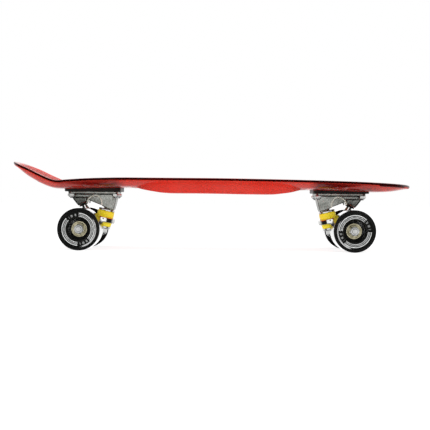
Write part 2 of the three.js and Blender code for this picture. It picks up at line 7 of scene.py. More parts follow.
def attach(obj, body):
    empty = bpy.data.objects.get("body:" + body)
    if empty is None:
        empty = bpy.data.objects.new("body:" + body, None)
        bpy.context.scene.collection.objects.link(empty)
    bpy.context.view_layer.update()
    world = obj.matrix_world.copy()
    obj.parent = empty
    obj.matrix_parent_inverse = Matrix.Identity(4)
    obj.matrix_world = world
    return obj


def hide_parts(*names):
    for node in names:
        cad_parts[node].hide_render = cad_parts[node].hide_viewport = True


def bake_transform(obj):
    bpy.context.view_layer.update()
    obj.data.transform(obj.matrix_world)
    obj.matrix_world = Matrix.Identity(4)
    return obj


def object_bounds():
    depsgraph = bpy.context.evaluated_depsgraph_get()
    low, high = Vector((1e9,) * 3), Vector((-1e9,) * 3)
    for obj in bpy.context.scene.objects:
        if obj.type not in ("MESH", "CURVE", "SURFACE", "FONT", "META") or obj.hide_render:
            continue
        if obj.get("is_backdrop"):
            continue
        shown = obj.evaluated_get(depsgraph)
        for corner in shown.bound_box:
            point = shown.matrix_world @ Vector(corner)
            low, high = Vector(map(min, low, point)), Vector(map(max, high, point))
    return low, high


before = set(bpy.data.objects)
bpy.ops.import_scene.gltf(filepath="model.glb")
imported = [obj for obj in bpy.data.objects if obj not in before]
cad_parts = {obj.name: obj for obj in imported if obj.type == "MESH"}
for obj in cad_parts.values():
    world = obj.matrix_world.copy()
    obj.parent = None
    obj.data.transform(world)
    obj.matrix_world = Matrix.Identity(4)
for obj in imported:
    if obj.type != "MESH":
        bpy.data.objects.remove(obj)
CAD_BOX = [[float(c) for c in corner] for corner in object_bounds()]
scene = bpy.context.scene
MM = 0.001
MIDDLE = 2.15  # the drawing's zero lies this far before the middle of the deck's length, in millimetres

# ------------------------------------------------------------------ small maths
def T(x, y, z):
    m = np.eye(4)
    m[:3, 3] = (x, y, z)
    return m


def R(axis, angle):
    return np.array(Matrix.Rotation(angle, 4, axis))


def moved(co, m):
    co = np.asarray(co, float)
    return co @ m[:3, :3].T + m[:3, 3]


def table(points):
    """A smooth curve through the points: height at x."""
    px = np.array([p[0] for p in points], float)
    py = np.array([p[1] for p in points], float)
    n = len(px)
    slope = np.empty(n)
    slope[0] = (py[1] - py[0]) / (px[1] - px[0])
    slope[-1] = (py[-1] - py[-2]) / (px[-1] - px[-2])
    slope[1:-1] = (py[2:] - py[:-2]) / (px[2:] - px[:-2])

    def f(x):
        x = np.clip(np.asarray(x, float), px[0], px[-1])
        i = np.clip(np.searchsorted(px, x, side="right") - 1, 0, n - 2)
        h = px[i + 1] - px[i]
        t = (x - px[i]) / h
        return (
            (2 * t**3 - 3 * t**2 + 1) * py[i]
            + (t**3 - 2 * t**2 + t) * slope[i] * h
            + (-2 * t**3 + 3 * t**2) * py[i + 1]
            + (t**3 - t**2) * slope[i + 1] * h
        )

    return f


def smin(a, b, k):
    h = np.maximum(k - np.abs(a - b), 0) / k
    return np.minimum(a, b) - h * h * k * 0.25


def smax(a, b, k):
    return -smin(-a, -b, k)


# ------------------------------------------------------------------ meshes
def add_mesh(name, co, blocks, materials, face_mat=None, sharp=32.0, check=True):
    """An object from points in millimetres and arrays of faces of equal size."""
    co = np.asarray(co, float)
    blocks = [np.asarray(b, np.int64) for b in blocks if len(b)]
    if check:
        vol = 0.0
        for b in blocks:
            p0 = co[b[:, 0]]
            for k in range(1, b.shape[1] - 1):
                vol += np.einsum("ij,ij->i", p0, np.cross(co[b[:, k]], co[b[:, k + 1]])).sum()
        if vol < 0:
            blocks = [b[:, ::-1] for b in blocks]
    me = bpy.data.meshes.new(name)
    me.vertices.add(len(co))
    me.vertices.foreach_set("co", ((co + [MIDDLE, 0, 0]) * MM).ravel())
    sizes = np.concatenate([np.full(len(b), b.shape[1]) for b in blocks])
    me.loops.add(int(sizes.sum()))
    me.loops.foreach_set("vertex_index", np.concatenate([b.ravel() for b in blocks]))
    me.polygons.add(len(sizes))
    me.polygons.foreach_set("loop_start", np.concatenate([[0], np.cumsum(sizes)[:-1]]))
    me.update(calc_edges=True)
    for m in materials:
        me.materials.append(m)
    if face_mat is not None:
        me.polygons.foreach_set("material_index", np.asarray(face_mat, np.int32))
    me.validate()
    finish_shading(me, sharp)
    o = bpy.data.objects.new(name, me)
    scene.collection.objects.link(o)
    return o


def finish_shading(me, sharp):
    me.shade_smooth()
    if sharp is not None:
        me.set_sharp_from_angle(angle=math.radians(sharp))


def ring_stack(rings, wrap):
    """Quads through rings of equal length, as one point array and one quad array."""
    n = len(rings[0])
    co = np.concatenate(rings)
    k = len(rings)
    rows = np.arange(k if wrap else k - 1)
    a = rows[:, None] * n
    b = ((rows + 1) % k)[:, None] * n
    i = np.arange(n)[None, :]
    j = (i + 1) % n
    quads = np.stack([a + i, b + i, b + j, a + j], axis=-1).reshape(-1, 4)
    return co, quads


def lathe(profile, n=96):
    """A profile of [radius, height] turned about Z. It closes on itself, or runs from axis to axis."""
    ang = np.arange(n) * 2 * math.pi / n
    c, s = np.cos(ang), np.sin(ang)
    open_ends = profile[0][0] == 0 and profile[-1][0] == 0
    pts = profile[1:-1] if open_ends else profile
    rings = [np.stack([r * c, r * s, np.full(n, z)], 1) for r, z in pts]
    co, quads = ring_stack(rings, not open_ends)
    tris = []
    if open_ends:
        top, bottom = len(co), len(co) + 1
        co = np.vstack([co, [[0, 0, profile[0][1]], [0, 0, profile[-1][1]]]])
        i = np.arange(n)
        j = (i + 1) % n
        last = (len(pts) - 1) * n
        tris = np.concatenate(
            [
                np.stack([np.full(n, top), i, j], 1),
                np.stack([np.full(n, bottom), last + j, last + i], 1),
            ]
        )
    return co, quads, tris


def rounded(points, steps=5):
    """A closed or open profile whose points [r, z, radius] are rounded with small arcs."""
    out = []
    n = len(points)
    for i, p in enumerate(points):
        rad = p[2] if len(p) > 2 else 0
        q = np.array(p[:2], float)
        if rad <= 0:
            out.append([q[0], q[1]])
            continue
        a = np.array(points[(i - 1) % n][:2], float) - q
        b = np.array(points[(i + 1) % n][:2], float) - q
        la, lb = np.linalg.norm(a), np.linalg.norm(b)
        a, b = a / la, b / lb
        half = math.acos(max(-1, min(1, float(a @ b)))) / 2
        cut = min(rad / math.tan(half), 0.48 * la, 0.48 * lb)
        r = cut * math.tan(half)
        centre = q + (a + b) / np.linalg.norm(a + b) * (r / math.sin(half))
        s, e = q + a * cut - centre, q + b * cut - centre
        sweep = math.atan2(s[0] * e[1] - s[1] * e[0], float(s @ e))
        for k in range(steps + 1):
            t = sweep * k / steps
            v = np.array([s[0] * math.cos(t) - s[1] * math.sin(t), s[0] * math.sin(t) + s[1] * math.cos(t)])
            out.append([float(max(centre[0] + v[0], 0)), float(centre[1] + v[1])])
    return out


def weld(parts):
    """Several (points, quads, tris) as one."""
    co, quads, tris, base = [], [], [], 0
    for c, q, t in parts:
        co.append(c)
        if len(q):
            quads.append(np.asarray(q) + base)
        if len(t):
            tris.append(np.asarray(t) + base)
        base += len(c)
    return (
        np.concatenate(co),
        np.concatenate(quads) if quads else [],
        np.concatenate(tris) if tris else [],
    )


def boolean(target, tool, operation, sharp=30.0):
    m = target.modifiers.new("cut", "BOOLEAN")
    m.object = tool
    m.operation = operation
    m.solver = "MANIFOLD"
    bpy.context.view_layer.update()
    dg = bpy.context.evaluated_depsgraph_get()
    me = bpy.data.meshes.new_from_object(target.evaluated_get(dg))
    target.modifiers.clear()
    old = target.data
    if len(me.polygons) == 0 or len(me.vertices) == len(old.vertices):
        raise RuntimeError(f"{operation} of {target.name} with {tool.name} did nothing")
    target.data = me
    bpy.data.meshes.remove(old)
    data = tool.data
    bpy.data.objects.remove(tool)
    bpy.data.meshes.remove(data)
    finish_shading(me, sharp)
    return target


def prism(loop, z0, z1):
    """An upright prism's sides over a plan loop, as (points, quads, number of loop points); add_prism closes its ends.
    """
    loop = np.asarray(loop, float)
    n = len(loop)
    lo = np.column_stack([loop, np.full(n, z0)])
    hi = np.column_stack([loop, np.full(n, z1)])
    co, quads = ring_stack([lo, hi], False)
    return co, quads, n


def add_prism(name, loop, z0, z1):
    co, quads, n = prism(loop, z0, z1)
    ends = np.array([list(range(n))[::-1], list(range(n, 2 * n))])
    area = 0.5 * np.sum(co[:n, 0] * np.roll(co[:n, 1], -1) - np.roll(co[:n, 0], -1) * co[:n, 1])
    if area < 0:
        ends = ends[:, ::-1]
        quads = quads
    else:
        quads = quads[:, ::-1]
    return add_mesh(name, co, [quads, ends], [], sharp=None, check=False)


def rounded_rect(x0, x1, y0, y1, r, steps=8):
    out = []
    for cx, cy, a0 in (
        (x1 - r, y0 + r, -math.pi / 2),
        (x1 - r, y1 - r, 0),
        (x0 + r, y1 - r, math.pi / 2),
        (x0 + r, y0 + r, math.pi),
    ):
        for i in range(steps + 1):
            a = a0 + math.pi / 2 * i / steps
            out.append([cx + r * math.cos(a), cy + r * math.sin(a)])
    return out


# ------------------------------------------------------------------ sizes, in millimetres
TAIL, NOSE = 289.0, 284.7
WHEEL_R = 29.5
REAR_X, FRONT_X = -188.75, 194.75
TRUCKS = (("rear", REAR_X, 1), ("front", FRONT_X, -1))
RIM_STEP = 0.8
RECESS_ROOF_Z = 95.4
RISER = (-27.2, 53.4, 27.5, 82.4, 88.4)
BOLT_U = (-17.75, 45.75)
BOLT_Y = 20.65
AXLE_R = 4.0
AXLE_END = 71.4
K_SEAT = (30.2, 54.8)
K_TILT = math.radians(12.7)
PIVOT_TIP = (-4.8, 67.5)
PIVOT_TILT = math.radians(24)
KINGPIN = T(K_SEAT[0], 0, K_SEAT[1]) @ R("Y", K_TILT)
PIVOT = T(PIVOT_TIP[0], 0, PIVOT_TIP[1]) @ R("Y", -PIVOT_TILT)
TRUCK_M = {name: T(cx, 0, 0) @ R("Z", 0 if turn > 0 else math.pi) for name, cx, turn in TRUCKS}

rim_top = table([
    (-289, 125.4), (-283, 122.7), (-274, 118.9), (-264.5, 115.0), (-255.6, 110.7), (-248, 107.0),
    (-241, 103.9), (-233, 100.5), (-226, 98.3), (-219, 97.6), (-210, 98.4), (-187, 100.0), (-159, 101.2), (-130, 101.8),
    (-90, 101.8), (-45, 101.8), (3, 101.8), (48, 101.4), (82, 101.0), (118, 100.5), (159, 99.7),
    (188, 99.1), (211, 98.5), (232, 97.8), (257, 96.8), (273, 95.9), (284.7, 94.9),
])
underside = table([
    (-289, 119.5), (-285, 116.0), (-277, 109.8), (-268, 104.0), (-260, 99.4), (-251, 94.6),
    (-242, 90.5), (-234, 87.8), (-228, 86.5), (-220, 86.0), (-205, 86.0), (-187, 86.7), (-157, 87.6), (-124, 88.4),
    (-57, 88.6), (3, 88.4), (63, 88.0), (130, 87.4), (173, 86.2), (219, 85.0), (236, 85.0),
    (253, 85.7), (268, 86.9), (284.7, 88.4),
])
rib_bottom = table([
    (-117, 91.4), (-112, 88.7), (-106.5, 86.95), (-98.2, 85.05), (-89.8, 83.5), (-81.5, 82.4), (-73, 81.85),
    (-64.9, 81.5), (-27, 81.6), (-6.7, 81.5), (14, 81.3), (35, 81.0), (56, 80.85), (76, 80.8), (89, 80.95),
    (97, 81.65), (105.5, 82.85), (113.8, 84.75), (122.1, 87.0), (128, 88.9),
])

# ------------------------------------------------------------------ camera
cam_data = bpy.data.cameras.new("camera")
cam_data.lens = 73.75
cam_data.sensor_width = 36.0
cam_data.clip_start = 0.02
cam_data.clip_end = 40
camera = bpy.data.objects.new("camera", cam_data)
camera.location = (0.0025, -1.291, 0.0692)
camera.rotation_euler = (math.radians(90 - 0.865), math.radians(-0.49), 0)
scene.collection.objects.link(camera)
scene.camera = camera


# ------------------------------------------------------------------ materials
def material(name):
    m = bpy.data.materials.new(name)
    m.use_nodes = True
    nt = m.node_tree
    return m, nt, nt.nodes["Principled BSDF"], nt.nodes["Material Output"]


def node(nt, kind, **values):
    n = nt.nodes.new(kind)
    for k, v in values.items():
        if k in n.inputs:
            n.inputs[k].default_value = v
        else:
            setattr(n, k, v)
    return n


def noise(nt, scale, detail=4.0, rough=0.55, stretch=None, distortion=0.0):
    """Noise in object space, in the object's own metres."""
    co = node(nt, "ShaderNodeTexCoord")
    source = co.outputs["Object"]
    if stretch:
        mp = node(nt, "ShaderNodeMapping")
        mp.inputs["Scale"].default_value = stretch
        nt.links.new(source, mp.inputs["Vector"])
        source = mp.outputs["Vector"]
    n = node(nt, "ShaderNodeTexNoise")
    n.inputs["Scale"].default_value = scale
    n.inputs["Detail"].default_value = detail
    n.inputs["Roughness"].default_value = rough
    n.inputs["Distortion"].default_value = distortion
    nt.links.new(source, n.inputs["Vector"])
    return n.outputs["Fac"]


def remap(nt, value, a, b, c, d, smooth=True):
    n = node(nt, "ShaderNodeMapRange")
    n.interpolation_type = "SMOOTHSTEP" if smooth else "LINEAR"
    n.inputs["From Min"].default_value = a
    n.inputs["From Max"].default_value = b
    n.inputs["To Min"].default_value = c
    n.inputs["To Max"].default_value = d
    nt.links.new(value, n.inputs["Value"])
    return n.outputs["Result"]


def mix_colour(nt, fac, a, b):
    n = node(nt, "ShaderNodeMix")
    n.data_type = "RGBA"
    nt.links.new(fac, n.inputs["Factor"])
    n.inputs["A"].default_value = (*a, 1) if len(a) == 3 else a
    n.inputs["B"].default_value = (*b, 1) if len(b) == 3 else b
    # the colour sockets come after the float and vector ones
    ca = [s for s in n.inputs if s.name == "A" and s.type == "RGBA"][0]
    cb = [s for s in n.inputs if s.name == "B" and s.type == "RGBA"][0]
    ca.default_value = (*a, 1)
    cb.default_value = (*b, 1)
    return [s for s in n.outputs if s.type == "RGBA"][0]


def bump(nt, height, strength, distance, after=None):
    n = node(nt, "ShaderNodeBump")
    n.inputs["Strength"].default_value = strength
    n.inputs["Distance"].default_value = distance
    nt.links.new(height, n.inputs["Height"])
    if after is not None:
        nt.links.new(after, n.inputs["Normal"])
    return n.outputs["Normal"]


def simple(name, colour, colour2, rough, rough2, metallic, scale, bump_strength, bump_distance,
           bump_scale=None, stretch=None, spec=None, coat=None):
    m, nt, bsdf, _ = material(name)
    patches = noise(nt, scale, 5, 0.6, stretch)
    nt.links.new(mix_colour(nt, remap(nt, patches, 0.35, 0.68, 0, 1), colour, colour2), bsdf.inputs["Base Color"])
    fine = noise(nt, bump_scale or scale * 4, 3, 0.6, stretch)
    nt.links.new(remap(nt, fine, 0.3, 0.7, rough, rough2), bsdf.inputs["Roughness"])
    bsdf.inputs["Metallic"].default_value = metallic
    if spec is not None:
        bsdf.inputs["Specular IOR Level"].default_value = spec
    if coat:
        bsdf.inputs["Coat Weight"].default_value = coat[0]
        bsdf.inputs["Coat Roughness"].default_value = coat[1]
    if bump_strength:
        nt.links.new(bump(nt, fine, bump_strength, bump_distance), bsdf.inputs["Normal"])
    m.diffuse_color = (*colour, 1)
    return m


def surface_value(nt, name):
    """A number kept on the mesh's points."""
    n = node(nt, "ShaderNodeAttribute")
    n.attribute_type = "GEOMETRY"
    n.attribute_name = name
    return n.outputs["Fac"]


def maths(nt, operation, a, b):
    n = node(nt, "ShaderNodeMath")
    n.operation = operation
    for socket, v in zip(n.inputs, (a, b)):
        if isinstance(v, (int, float)):
            socket.default_value = v
        else:
            nt.links.new(v, socket)
    return n.outputs["Value"]


def mix_links(nt, fac, a, b):
    """Two colours, each a triple or a socket, mixed by a socket."""
    n = node(nt, "ShaderNodeMix")
    n.data_type = "RGBA"
    nt.links.new(fac, n.inputs["Factor"])
    for key, v in (("A", a), ("B", b)):
        socket = [i for i in n.inputs if i.name == key and i.type == "RGBA"][0]
        if isinstance(v, tuple):
            socket.default_value = (*v, 1)
        else:
            nt.links.new(v, socket)
    return [o for o in n.outputs if o.type == "RGBA"][0]


def deck_material():
    """Clear red plastic, partly milky: thin walls are bright, long ways dark. A near-black band along its edge is
    painted shade, standing for the dark seen along the sheet.
    """
    m, nt, bsdf, out = material("deck_red")
    haze = noise(nt, 14, 3, 0.5)
    red = mix_colour(nt, remap(nt, haze, 0.3, 0.7, 0, 1), DECK_TINT_A, DECK_TINT_B)
    # painted shade: the "edge" value paints a near-black band along the rim's top and along the nose
    edge = remap(nt, surface_value(nt, "edge"), 0.15, 0.85, 0, 1)
    # painted shade: the "over" value paints streaky dark red over the riser pads
    over = maths(nt, "MULTIPLY", surface_value(nt, "over"), remap(nt, noise(nt, 40, 2, 0.5, (0.3, 1, 3.0)), 0.3, 0.6, 0.35, 1.0))
    red = mix_links(nt, over, red, (0.16, 0.012, 0.010))
    nt.links.new(mix_links(nt, edge, red, (0.02, 0.0006, 0.001)), bsdf.inputs["Base Color"])
    scratch = noise(nt, 60, 4, 0.62, (0.25, 1.0, 1.0))
    smooth = remap(nt, scratch, 0.35, 0.7, 0.03, 0.08)
    grip = maths(nt, "MULTIPLY", surface_value(nt, "grip"), 0.42)
    nt.links.new(maths(nt, "ADD", smooth, grip), bsdf.inputs["Roughness"])
    bsdf.inputs["IOR"].default_value = 1.5
    bsdf.inputs["Transmission Weight"].default_value = DECK_CLEAR
    nt.links.new(bump(nt, scratch, 0.05, 0.0004), bsdf.inputs["Normal"])
    vol = node(nt, "ShaderNodeVolumeAbsorption")
    vol.inputs["Color"].default_value = (0.94, 0.16, 0.02, 1)
    vol.inputs["Density"].default_value = DECK_DENSITY
    nt.links.new(vol.outputs["Volume"], out.inputs["Volume"])
    m.diffuse_color = (0.8, 0.04, 0.02, 1)
    return m


DECK_TINT_A, DECK_TINT_B = (0.93, 0.085, 0.05), (0.98, 0.13, 0.085)
DECK_CLEAR = 0.68
DECK_DENSITY = 180.0
DECK_RED = deck_material()
PAD_BLACK = simple("pad_black", (0.012, 0.012, 0.011), (0.02, 0.02, 0.018), 0.3, 0.45, 0, 40, 0.2, 0.0002, 500)
CUP_BLACK = simple("cup_black", (0.01, 0.01, 0.01), (0.018, 0.018, 0.018), 0.35, 0.5, 0, 60, 0.15, 0.0002, 600)
CAST = simple("cast_aluminium", (0.34, 0.35, 0.32), (0.60, 0.61, 0.57), 0.24, 0.4, 1, 70, 0.4, 0.0003, 420)
POLISHED = simple("polished_aluminium", (0.86, 0.86, 0.85), (0.92, 0.92, 0.90), 0.035, 0.08, 1, 30, 0.06, 0.0002, 90)
ZINC = simple("zinc_steel", (0.62, 0.63, 0.62), (0.74, 0.74, 0.72), 0.12, 0.22, 1, 90, 0.12, 0.00012, 400)
WASHER = simple("washer_steel", (0.80, 0.80, 0.79), (0.88, 0.88, 0.86), 0.06, 0.12, 1, 90, 0.05, 0.0001, 300)
# painted highlight: a light colour for the modelled bead round the pocket's arch, standing for the light caught along
# its rounded lip
BEAD_HIGHLIGHT = simple("worn_bead", (0.74, 0.72, 0.62), (0.86, 0.84, 0.74), 0.3, 0.42, 0.3, 90, 0.2, 0.0002, 500)
RACE = simple("race_steel", (0.70, 0.70, 0.68), (0.78, 0.78, 0.76), 0.10, 0.18, 1, 90, 0.08, 0.0001, 500)
SHIELD = simple("shield_gold", (0.44, 0.40, 0.25), (0.74, 0.68, 0.47), 0.22, 0.34, 1, 260, 0.1, 0.0001, 500)
YELLOW = simple("bushing_yellow", (0.93, 0.74, 0.012), (0.99, 0.82, 0.02), 0.28, 0.42, 0, 70, 0.15, 0.0002, 350)
TYRE = simple("wheel_black", (0.0045, 0.0045, 0.0042), (0.008, 0.008, 0.0075), 0.08, 0.16, 0, 35, 0.08, 0.0002, 260)
PRINT = simple("print_grey", (0.52, 0.53, 0.52), (0.66, 0.67, 0.66), 0.22, 0.34, 0, 120, 0.1, 0.0001, 600)
NYLON = simple("nylon_insert", (0.05, 0.12, 0.32), (0.06, 0.14, 0.36), 0.4, 0.5, 0, 120, 0.1, 0.0001, 600)

PIECES = []
TYRES = []


def place(o, body, *nodes, slot=None):
    if body is not None:
        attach(o, body)
    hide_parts(*nodes)
    PIECES.append(o)
    return o


# ------------------------------------------------------------------ deck
HALF_OUTLINE = [
    (-TAIL, 0), (-TAIL + 0.2, 16), (-TAIL + 1.2, 31), (-TAIL + 5, 43), (-TAIL + 13, 51.5),
    (-TAIL + 27, 56.3), (-240, 60), (-200, 65.4), (-150, 70.3), (-100, 73.2), (-50, 74.7),
    (0, 75), (50, 75), (100, 74), (150, 70.6), (190, 64.6), (220, 57.0), (241, 48.4),
    (257, 39.4), (269.5, 29.2), (278.5, 18), (283.4, 8), (NOSE, 0),
]


def closed_outline(step):
    """A closed centripetal curve through the outline and its mirror image, symmetric in Y."""
    pts = [np.array(p, float) for p in HALF_OUTLINE]
    loop = pts + [np.array([p[0], -p[1]]) for p in pts[-2:0:-1]]
    n = len(loop)
    half = []
    for i in range(len(pts) - 1):
        p0, p1, p2, p3 = (loop[(i + k) % n] for k in (-1, 0, 1, 2))
        d0, d1, d2 = (np.linalg.norm(b - a) ** 0.5 for a, b in ((p0, p1), (p1, p2), (p2, p3)))
        t1 = ((p1 - p0) / d0 - (p2 - p0) / (d0 + d1) + (p2 - p1) / d1) * d1
        t2 = ((p2 - p1) / d1 - (p3 - p1) / (d1 + d2) + (p3 - p2) / d2) * d1
        count = max(4, int(round(np.linalg.norm(p2 - p1) / step)))
        for k in range(count):
            t = k / count
            half.append(p1 + t1 * t + (-3 * p1 + 3 * p2 - 2 * t1 - t2) * t * t + (2 * p1 - 2 * p2 + t1 + t2) * t**3)
    half.append(pts[-1])
    half = np.array(half)
    half[0, 1] = half[-1, 1] = 0
    return np.concatenate([half, half[-2:0:-1] * [1, -1]])


EDGE = closed_outline(3.0)
N_EDGE = len(EDGE)


def smooth_ring(v, width):
    out = np.zeros_like(v)
    total = 0
    for k in range(-width, width + 1):
        w = math.cos(0.5 * math.pi * k / (width + 1)) ** 2
        out += w * np.roll(v, k, axis=0)
        total += w
    out /= total
    return out / np.linalg.norm(out, axis=1)[:, None]


_d = np.roll(EDGE, -1, axis=0) - np.roll(EDGE, 1, axis=0)
_d /= np.linalg.norm(_d, axis=1)[:, None]
INWARD = np.column_stack([_d[:, 1], -_d[:, 0]])
INWARD_SOFT = smooth_ring(INWARD, 8)


def inset(d):
    k = min(1.0, d / 14.0)
    v = INWARD * (1 - k) + INWARD_SOFT * k
    v /= np.linalg.norm(v, axis=1)[:, None]
    return EDGE + v * d


def deep(k):
    p = inset(14)
    cx = np.clip(p[:, 0], -250, 236)
    return np.column_stack([p[:, 0] + (cx - p[:, 0]) * k, p[:, 1] * (1 - k)])


share = table([(1.6, 0), (6, 0.3), (14, 0.7), (25, 0.9), (38.4, 1.0), (60, 1.0)])


def deck_hull():
    rings = []

    def add(plan, drop=None, part=None):
        x = plan[:, 0]
        z = rim_top(x) - drop if part is None else rim_top(x) - 5 - (rim_top(x) - underside(x) - 5) * part
        rings.append(np.column_stack([plan, z]))

    for k in (0.6, 0.45, 0.3, 0.15):
        add(deep(k), RIM_STEP)
    for d, drop in (
        (14, 0.8), (11, 0.8), (9, 0.8), (8.2, 0.8), (7.9, 0.72), (7.6, 0.5), (7.35, 0.25), (7.0, 0.05),
        (6.6, 0.0), (4.5, 0.0), (2.4, 0.0), (1.75, 0.06), (1.2, 0.22), (0.75, 0.5), (0.4, 0.88),
        (0.15, 1.35), (0.02, 1.9), (0.0, 2.5), (0.06, 3.0), (0.22, 3.5), (0.5, 4.0), (0.9, 4.45), (1.3, 4.8),
    ):
        add(inset(d), drop)
    for d in (1.8, 2.4, 3.2, 4.2, 5.2, 6.2, 7.4, 8.8, 10.4, 12.2, 14):
        add(inset(d), part=share(d))
    for k in (0.05, 0.1, 0.15, 0.2, 0.26, 0.32, 0.4, 0.55):
        add(deep(k), part=share(14 + k * 61))
    # both inner rings sit under each other, and each closes across the middle line
    co, quads = ring_stack(rings, False)
    n = N_EDGE
    half = n // 2
    caps_q, caps_t = [], []
    for base, flip in ((0, False), ((len(rings) - 1) * n, True)):
        for i in range(half):
            a, b = i, i + 1
            c, d = (n - i) % n, n - i - 1
            f = [a, b, d, c]
            if i == 0:
                f = [a, b, d]
            elif b == half:
                f = [a, b, c]
            f = [v + base for v in f]
            if flip:
                f = f[::-1]
            (caps_t if len(f) == 3 else caps_q).append(f)
    return co, np.concatenate([quads, np.array(caps_q)]), np.array(caps_t)


RIB_N = 180


def rib_outline(d):
    cx, rx, ry, e = 5.5, 122.5 - d, 70.8 - d, 2 / 4.6
    # even spacing along the outline
    fine = np.linspace(0, 2 * math.pi, 7201)[:-1]
    c, s = np.cos(fine), np.sin(fine)
    p = np.column_stack([cx + rx * np.sign(c) * np.abs(c) ** e, ry * np.sign(s) * np.abs(s) ** e])
    seg = np.linalg.norm(np.roll(p, -1, axis=0) - p, axis=1)
    run = np.concatenate([[0], np.cumsum(seg)])
    at = np.linspace(0, run[-1], RIB_N + 1)[:-1]
    loop = np.vstack([p, p[:1]])
    return np.column_stack([np.interp(at, run, loop[:, 0]), np.interp(at, run, loop[:, 1])])


def make_deck():
    co, quads, tris = deck_hull()
    deck = add_mesh("deck_shell", co, [quads, tris], [DECK_RED], sharp=30)
    for name, cx, turn in TRUCKS:
        x = sorted((cx + turn * RISER[0], cx + turn * RISER[1]))
        boolean(
            deck,
            add_prism("pocket", rounded_rect(x[0] - 0.6, x[1] + 0.6, -28.1, 28.1, 5.4), 70, RISER[4] + 0.1),
            "DIFFERENCE",
        )
    boolean(deck, add_prism("recess", rib_outline(11), 70, RECESS_ROOF_Z), "DIFFERENCE")

    def loop(d, z):
        p = rib_outline(d)
        return np.column_stack([p, z(p[:, 0])])

    lift = lambda h: (lambda x: rib_bottom(x) + h)
    wall, wall_q = ring_stack(
        [
            loop(0.0, lambda x: np.full(len(x), 97.5)),
            loop(0.6, lambda x: 0.5 * (97.5 + rib_bottom(x) + 3.0)),
            loop(1.2, lift(3.0)), loop(1.35, lift(2.2)), loop(1.7, lift(1.35)), loop(2.2, lift(0.65)),
            loop(2.85, lift(0.2)), loop(3.6, lift(0.0)), loop(6.0, lift(0.0)), loop(7.6, lift(0.0)),
            loop(8.1, lift(0.12)), loop(8.5, lift(0.45)), loop(8.75, lift(1.0)),
            loop(10.4, lambda x: 0.5 * (97.5 + rib_bottom(x) + 1.0)),
            loop(12.0, lambda x: np.full(len(x), 97.5)),
        ],
        True,
    )
    boolean(deck, add_mesh("rib", wall, [wall_q], [DECK_RED], sharp=None), "UNION")
    # waffle pads on the standing surface, set diagonally
    pads = []
    pitch = 5.0
    size = 2.85
    shape = []
    for k in range(4):
        a = math.pi / 2 * k
        for da in (-0.62, 0.62):
            shape.append((math.cos(a + math.pi / 4 * 0 + da), math.sin(a + da)))
    # an octagon near to a diamond
    shape = np.array(shape)
    ang = np.array([math.atan2(p[1], p[0]) for p in shape])
    ring = np.column_stack([np.cos(ang), np.sin(ang)])
    corner = []
    for k in range(4):
        a = math.pi / 2 * k
        tip = np.array([math.cos(a), math.sin(a)])
        side = np.array([-tip[1], tip[0]])
        corner += [tip * 0.86 - side * 0.14, tip * 0.86 + side * 0.14]
    corner = np.array(corner) * size * math.sqrt(2)
    edge_in = inset(11.6)
    # a pad is kept where its centre lies well inside the rim and clear of a bolt head
    poly = edge_in
    nxt = np.roll(poly, -1, axis=0)
    heads = [(cx + turn * u, y) for _, cx, turn in TRUCKS for u in BOLT_U for y in (-BOLT_Y, BOLT_Y)]
    for i in range(-60, 61):
        for j in range(-16, 17):
            if (i + j) % 2:
                continue
            x, y = i * pitch, j * pitch
            crossing = (poly[:, 1] > y) != (nxt[:, 1] > y)
            with np.errstate(divide="ignore", invalid="ignore"):
                xx = poly[:, 0] + (y - poly[:, 1]) / (nxt[:, 1] - poly[:, 1]) * (nxt[:, 0] - poly[:, 0])
            if np.count_nonzero(crossing & (x < xx)) % 2 == 0:
                continue
            if any(math.hypot(x - hx, y - hy) < 9.0 for hx, hy in heads):
                continue
            pads.append((x, y))
    levels = ((1.0, -0.5), (1.0, 0.1), (0.95, 0.34), (0.84, 0.46))
    pco, pq, pn = [], [], []
    base = 0
    for x, y in pads:
        rows = []
        for scale, h in levels:
            xy = corner * scale + [x, y]
            rows.append(np.column_stack([xy, rim_top(xy[:, 0]) - RIM_STEP + h]))
        c, q = ring_stack(rows, False)
        pco.append(c)
        pq.append(q + base)
        m = len(corner)
        pn.append([base + v for v in range(m)][::-1])
        pn.append([base + (len(levels) - 1) * m + v for v in range(m)])
        base += len(c)
    pco = np.concatenate(pco)
    pq = np.concatenate(pq)[:, ::-1]
    waffle = add_mesh("waffle", pco, [pq, np.array(pn)], [DECK_RED], sharp=None)
    boolean(deck, waffle, "UNION")
    # mounting holes with countersinks
    holes = []
    for hx, hy in heads:
        head = float(rim_top(hx)) - RIM_STEP
        c, q, t = lathe(
            [(0, 80), (2.7, 80), (2.7, head - 3.1), (5.05, head - 0.55), (5.05, head + 3), (0, head + 3)], 36
        )
        holes.append((c + [hx, hy, 0], q, t))
    co, quads, tris = weld(holes)
    boolean(deck, add_mesh("holes", co, [quads, tris], [], sharp=None), "DIFFERENCE", sharp=28)
    me = deck.data
    me.materials.clear()
    me.materials.append(DECK_RED)
    me.polygons.foreach_set("material_index", np.zeros(len(me.polygons), np.int32))
    # how far each point lies below the rim's top and inside the outline
    pts = np.empty(len(me.vertices) * 3, np.float32)
    me.vertices.foreach_get("co", pts)
    pts = pts.reshape(-1, 3) / MM - [MIDDLE, 0, 0]
    below = rim_top(pts[:, 0]) - pts[:, 2]
    seg = np.roll(EDGE, -1, axis=0) - EDGE
    away = np.full(len(pts), 1e9)
    for p, e in zip(EDGE, seg):
        w = pts[:, :2] - p
        t = np.clip((w @ e) / (e @ e), 0, 1)
        away = np.minimum(away, np.hypot(w[:, 0] - e[0] * t, w[:, 1] - e[1] * t))
    # painted shade: a near-black band painted just under the rim's top, close to the outline
    edge = np.clip((3.7 - below) / 0.5, 0, 1) * np.clip((1.3 - away) / 0.4, 0, 1)
    inside = np.clip((away - 7.8) / 0.5, 0, 1)
    grip = np.maximum(inside * (below < 2), 0.8 * inside * (below > 5) * (np.abs(pts[:, 2] - RECESS_ROOF_Z) < 0.6))
    grip = np.maximum(grip, 0.5 * np.clip((below - 8) / 3, 0, 1) * (np.abs(pts[:, 0] - 5) < 124))
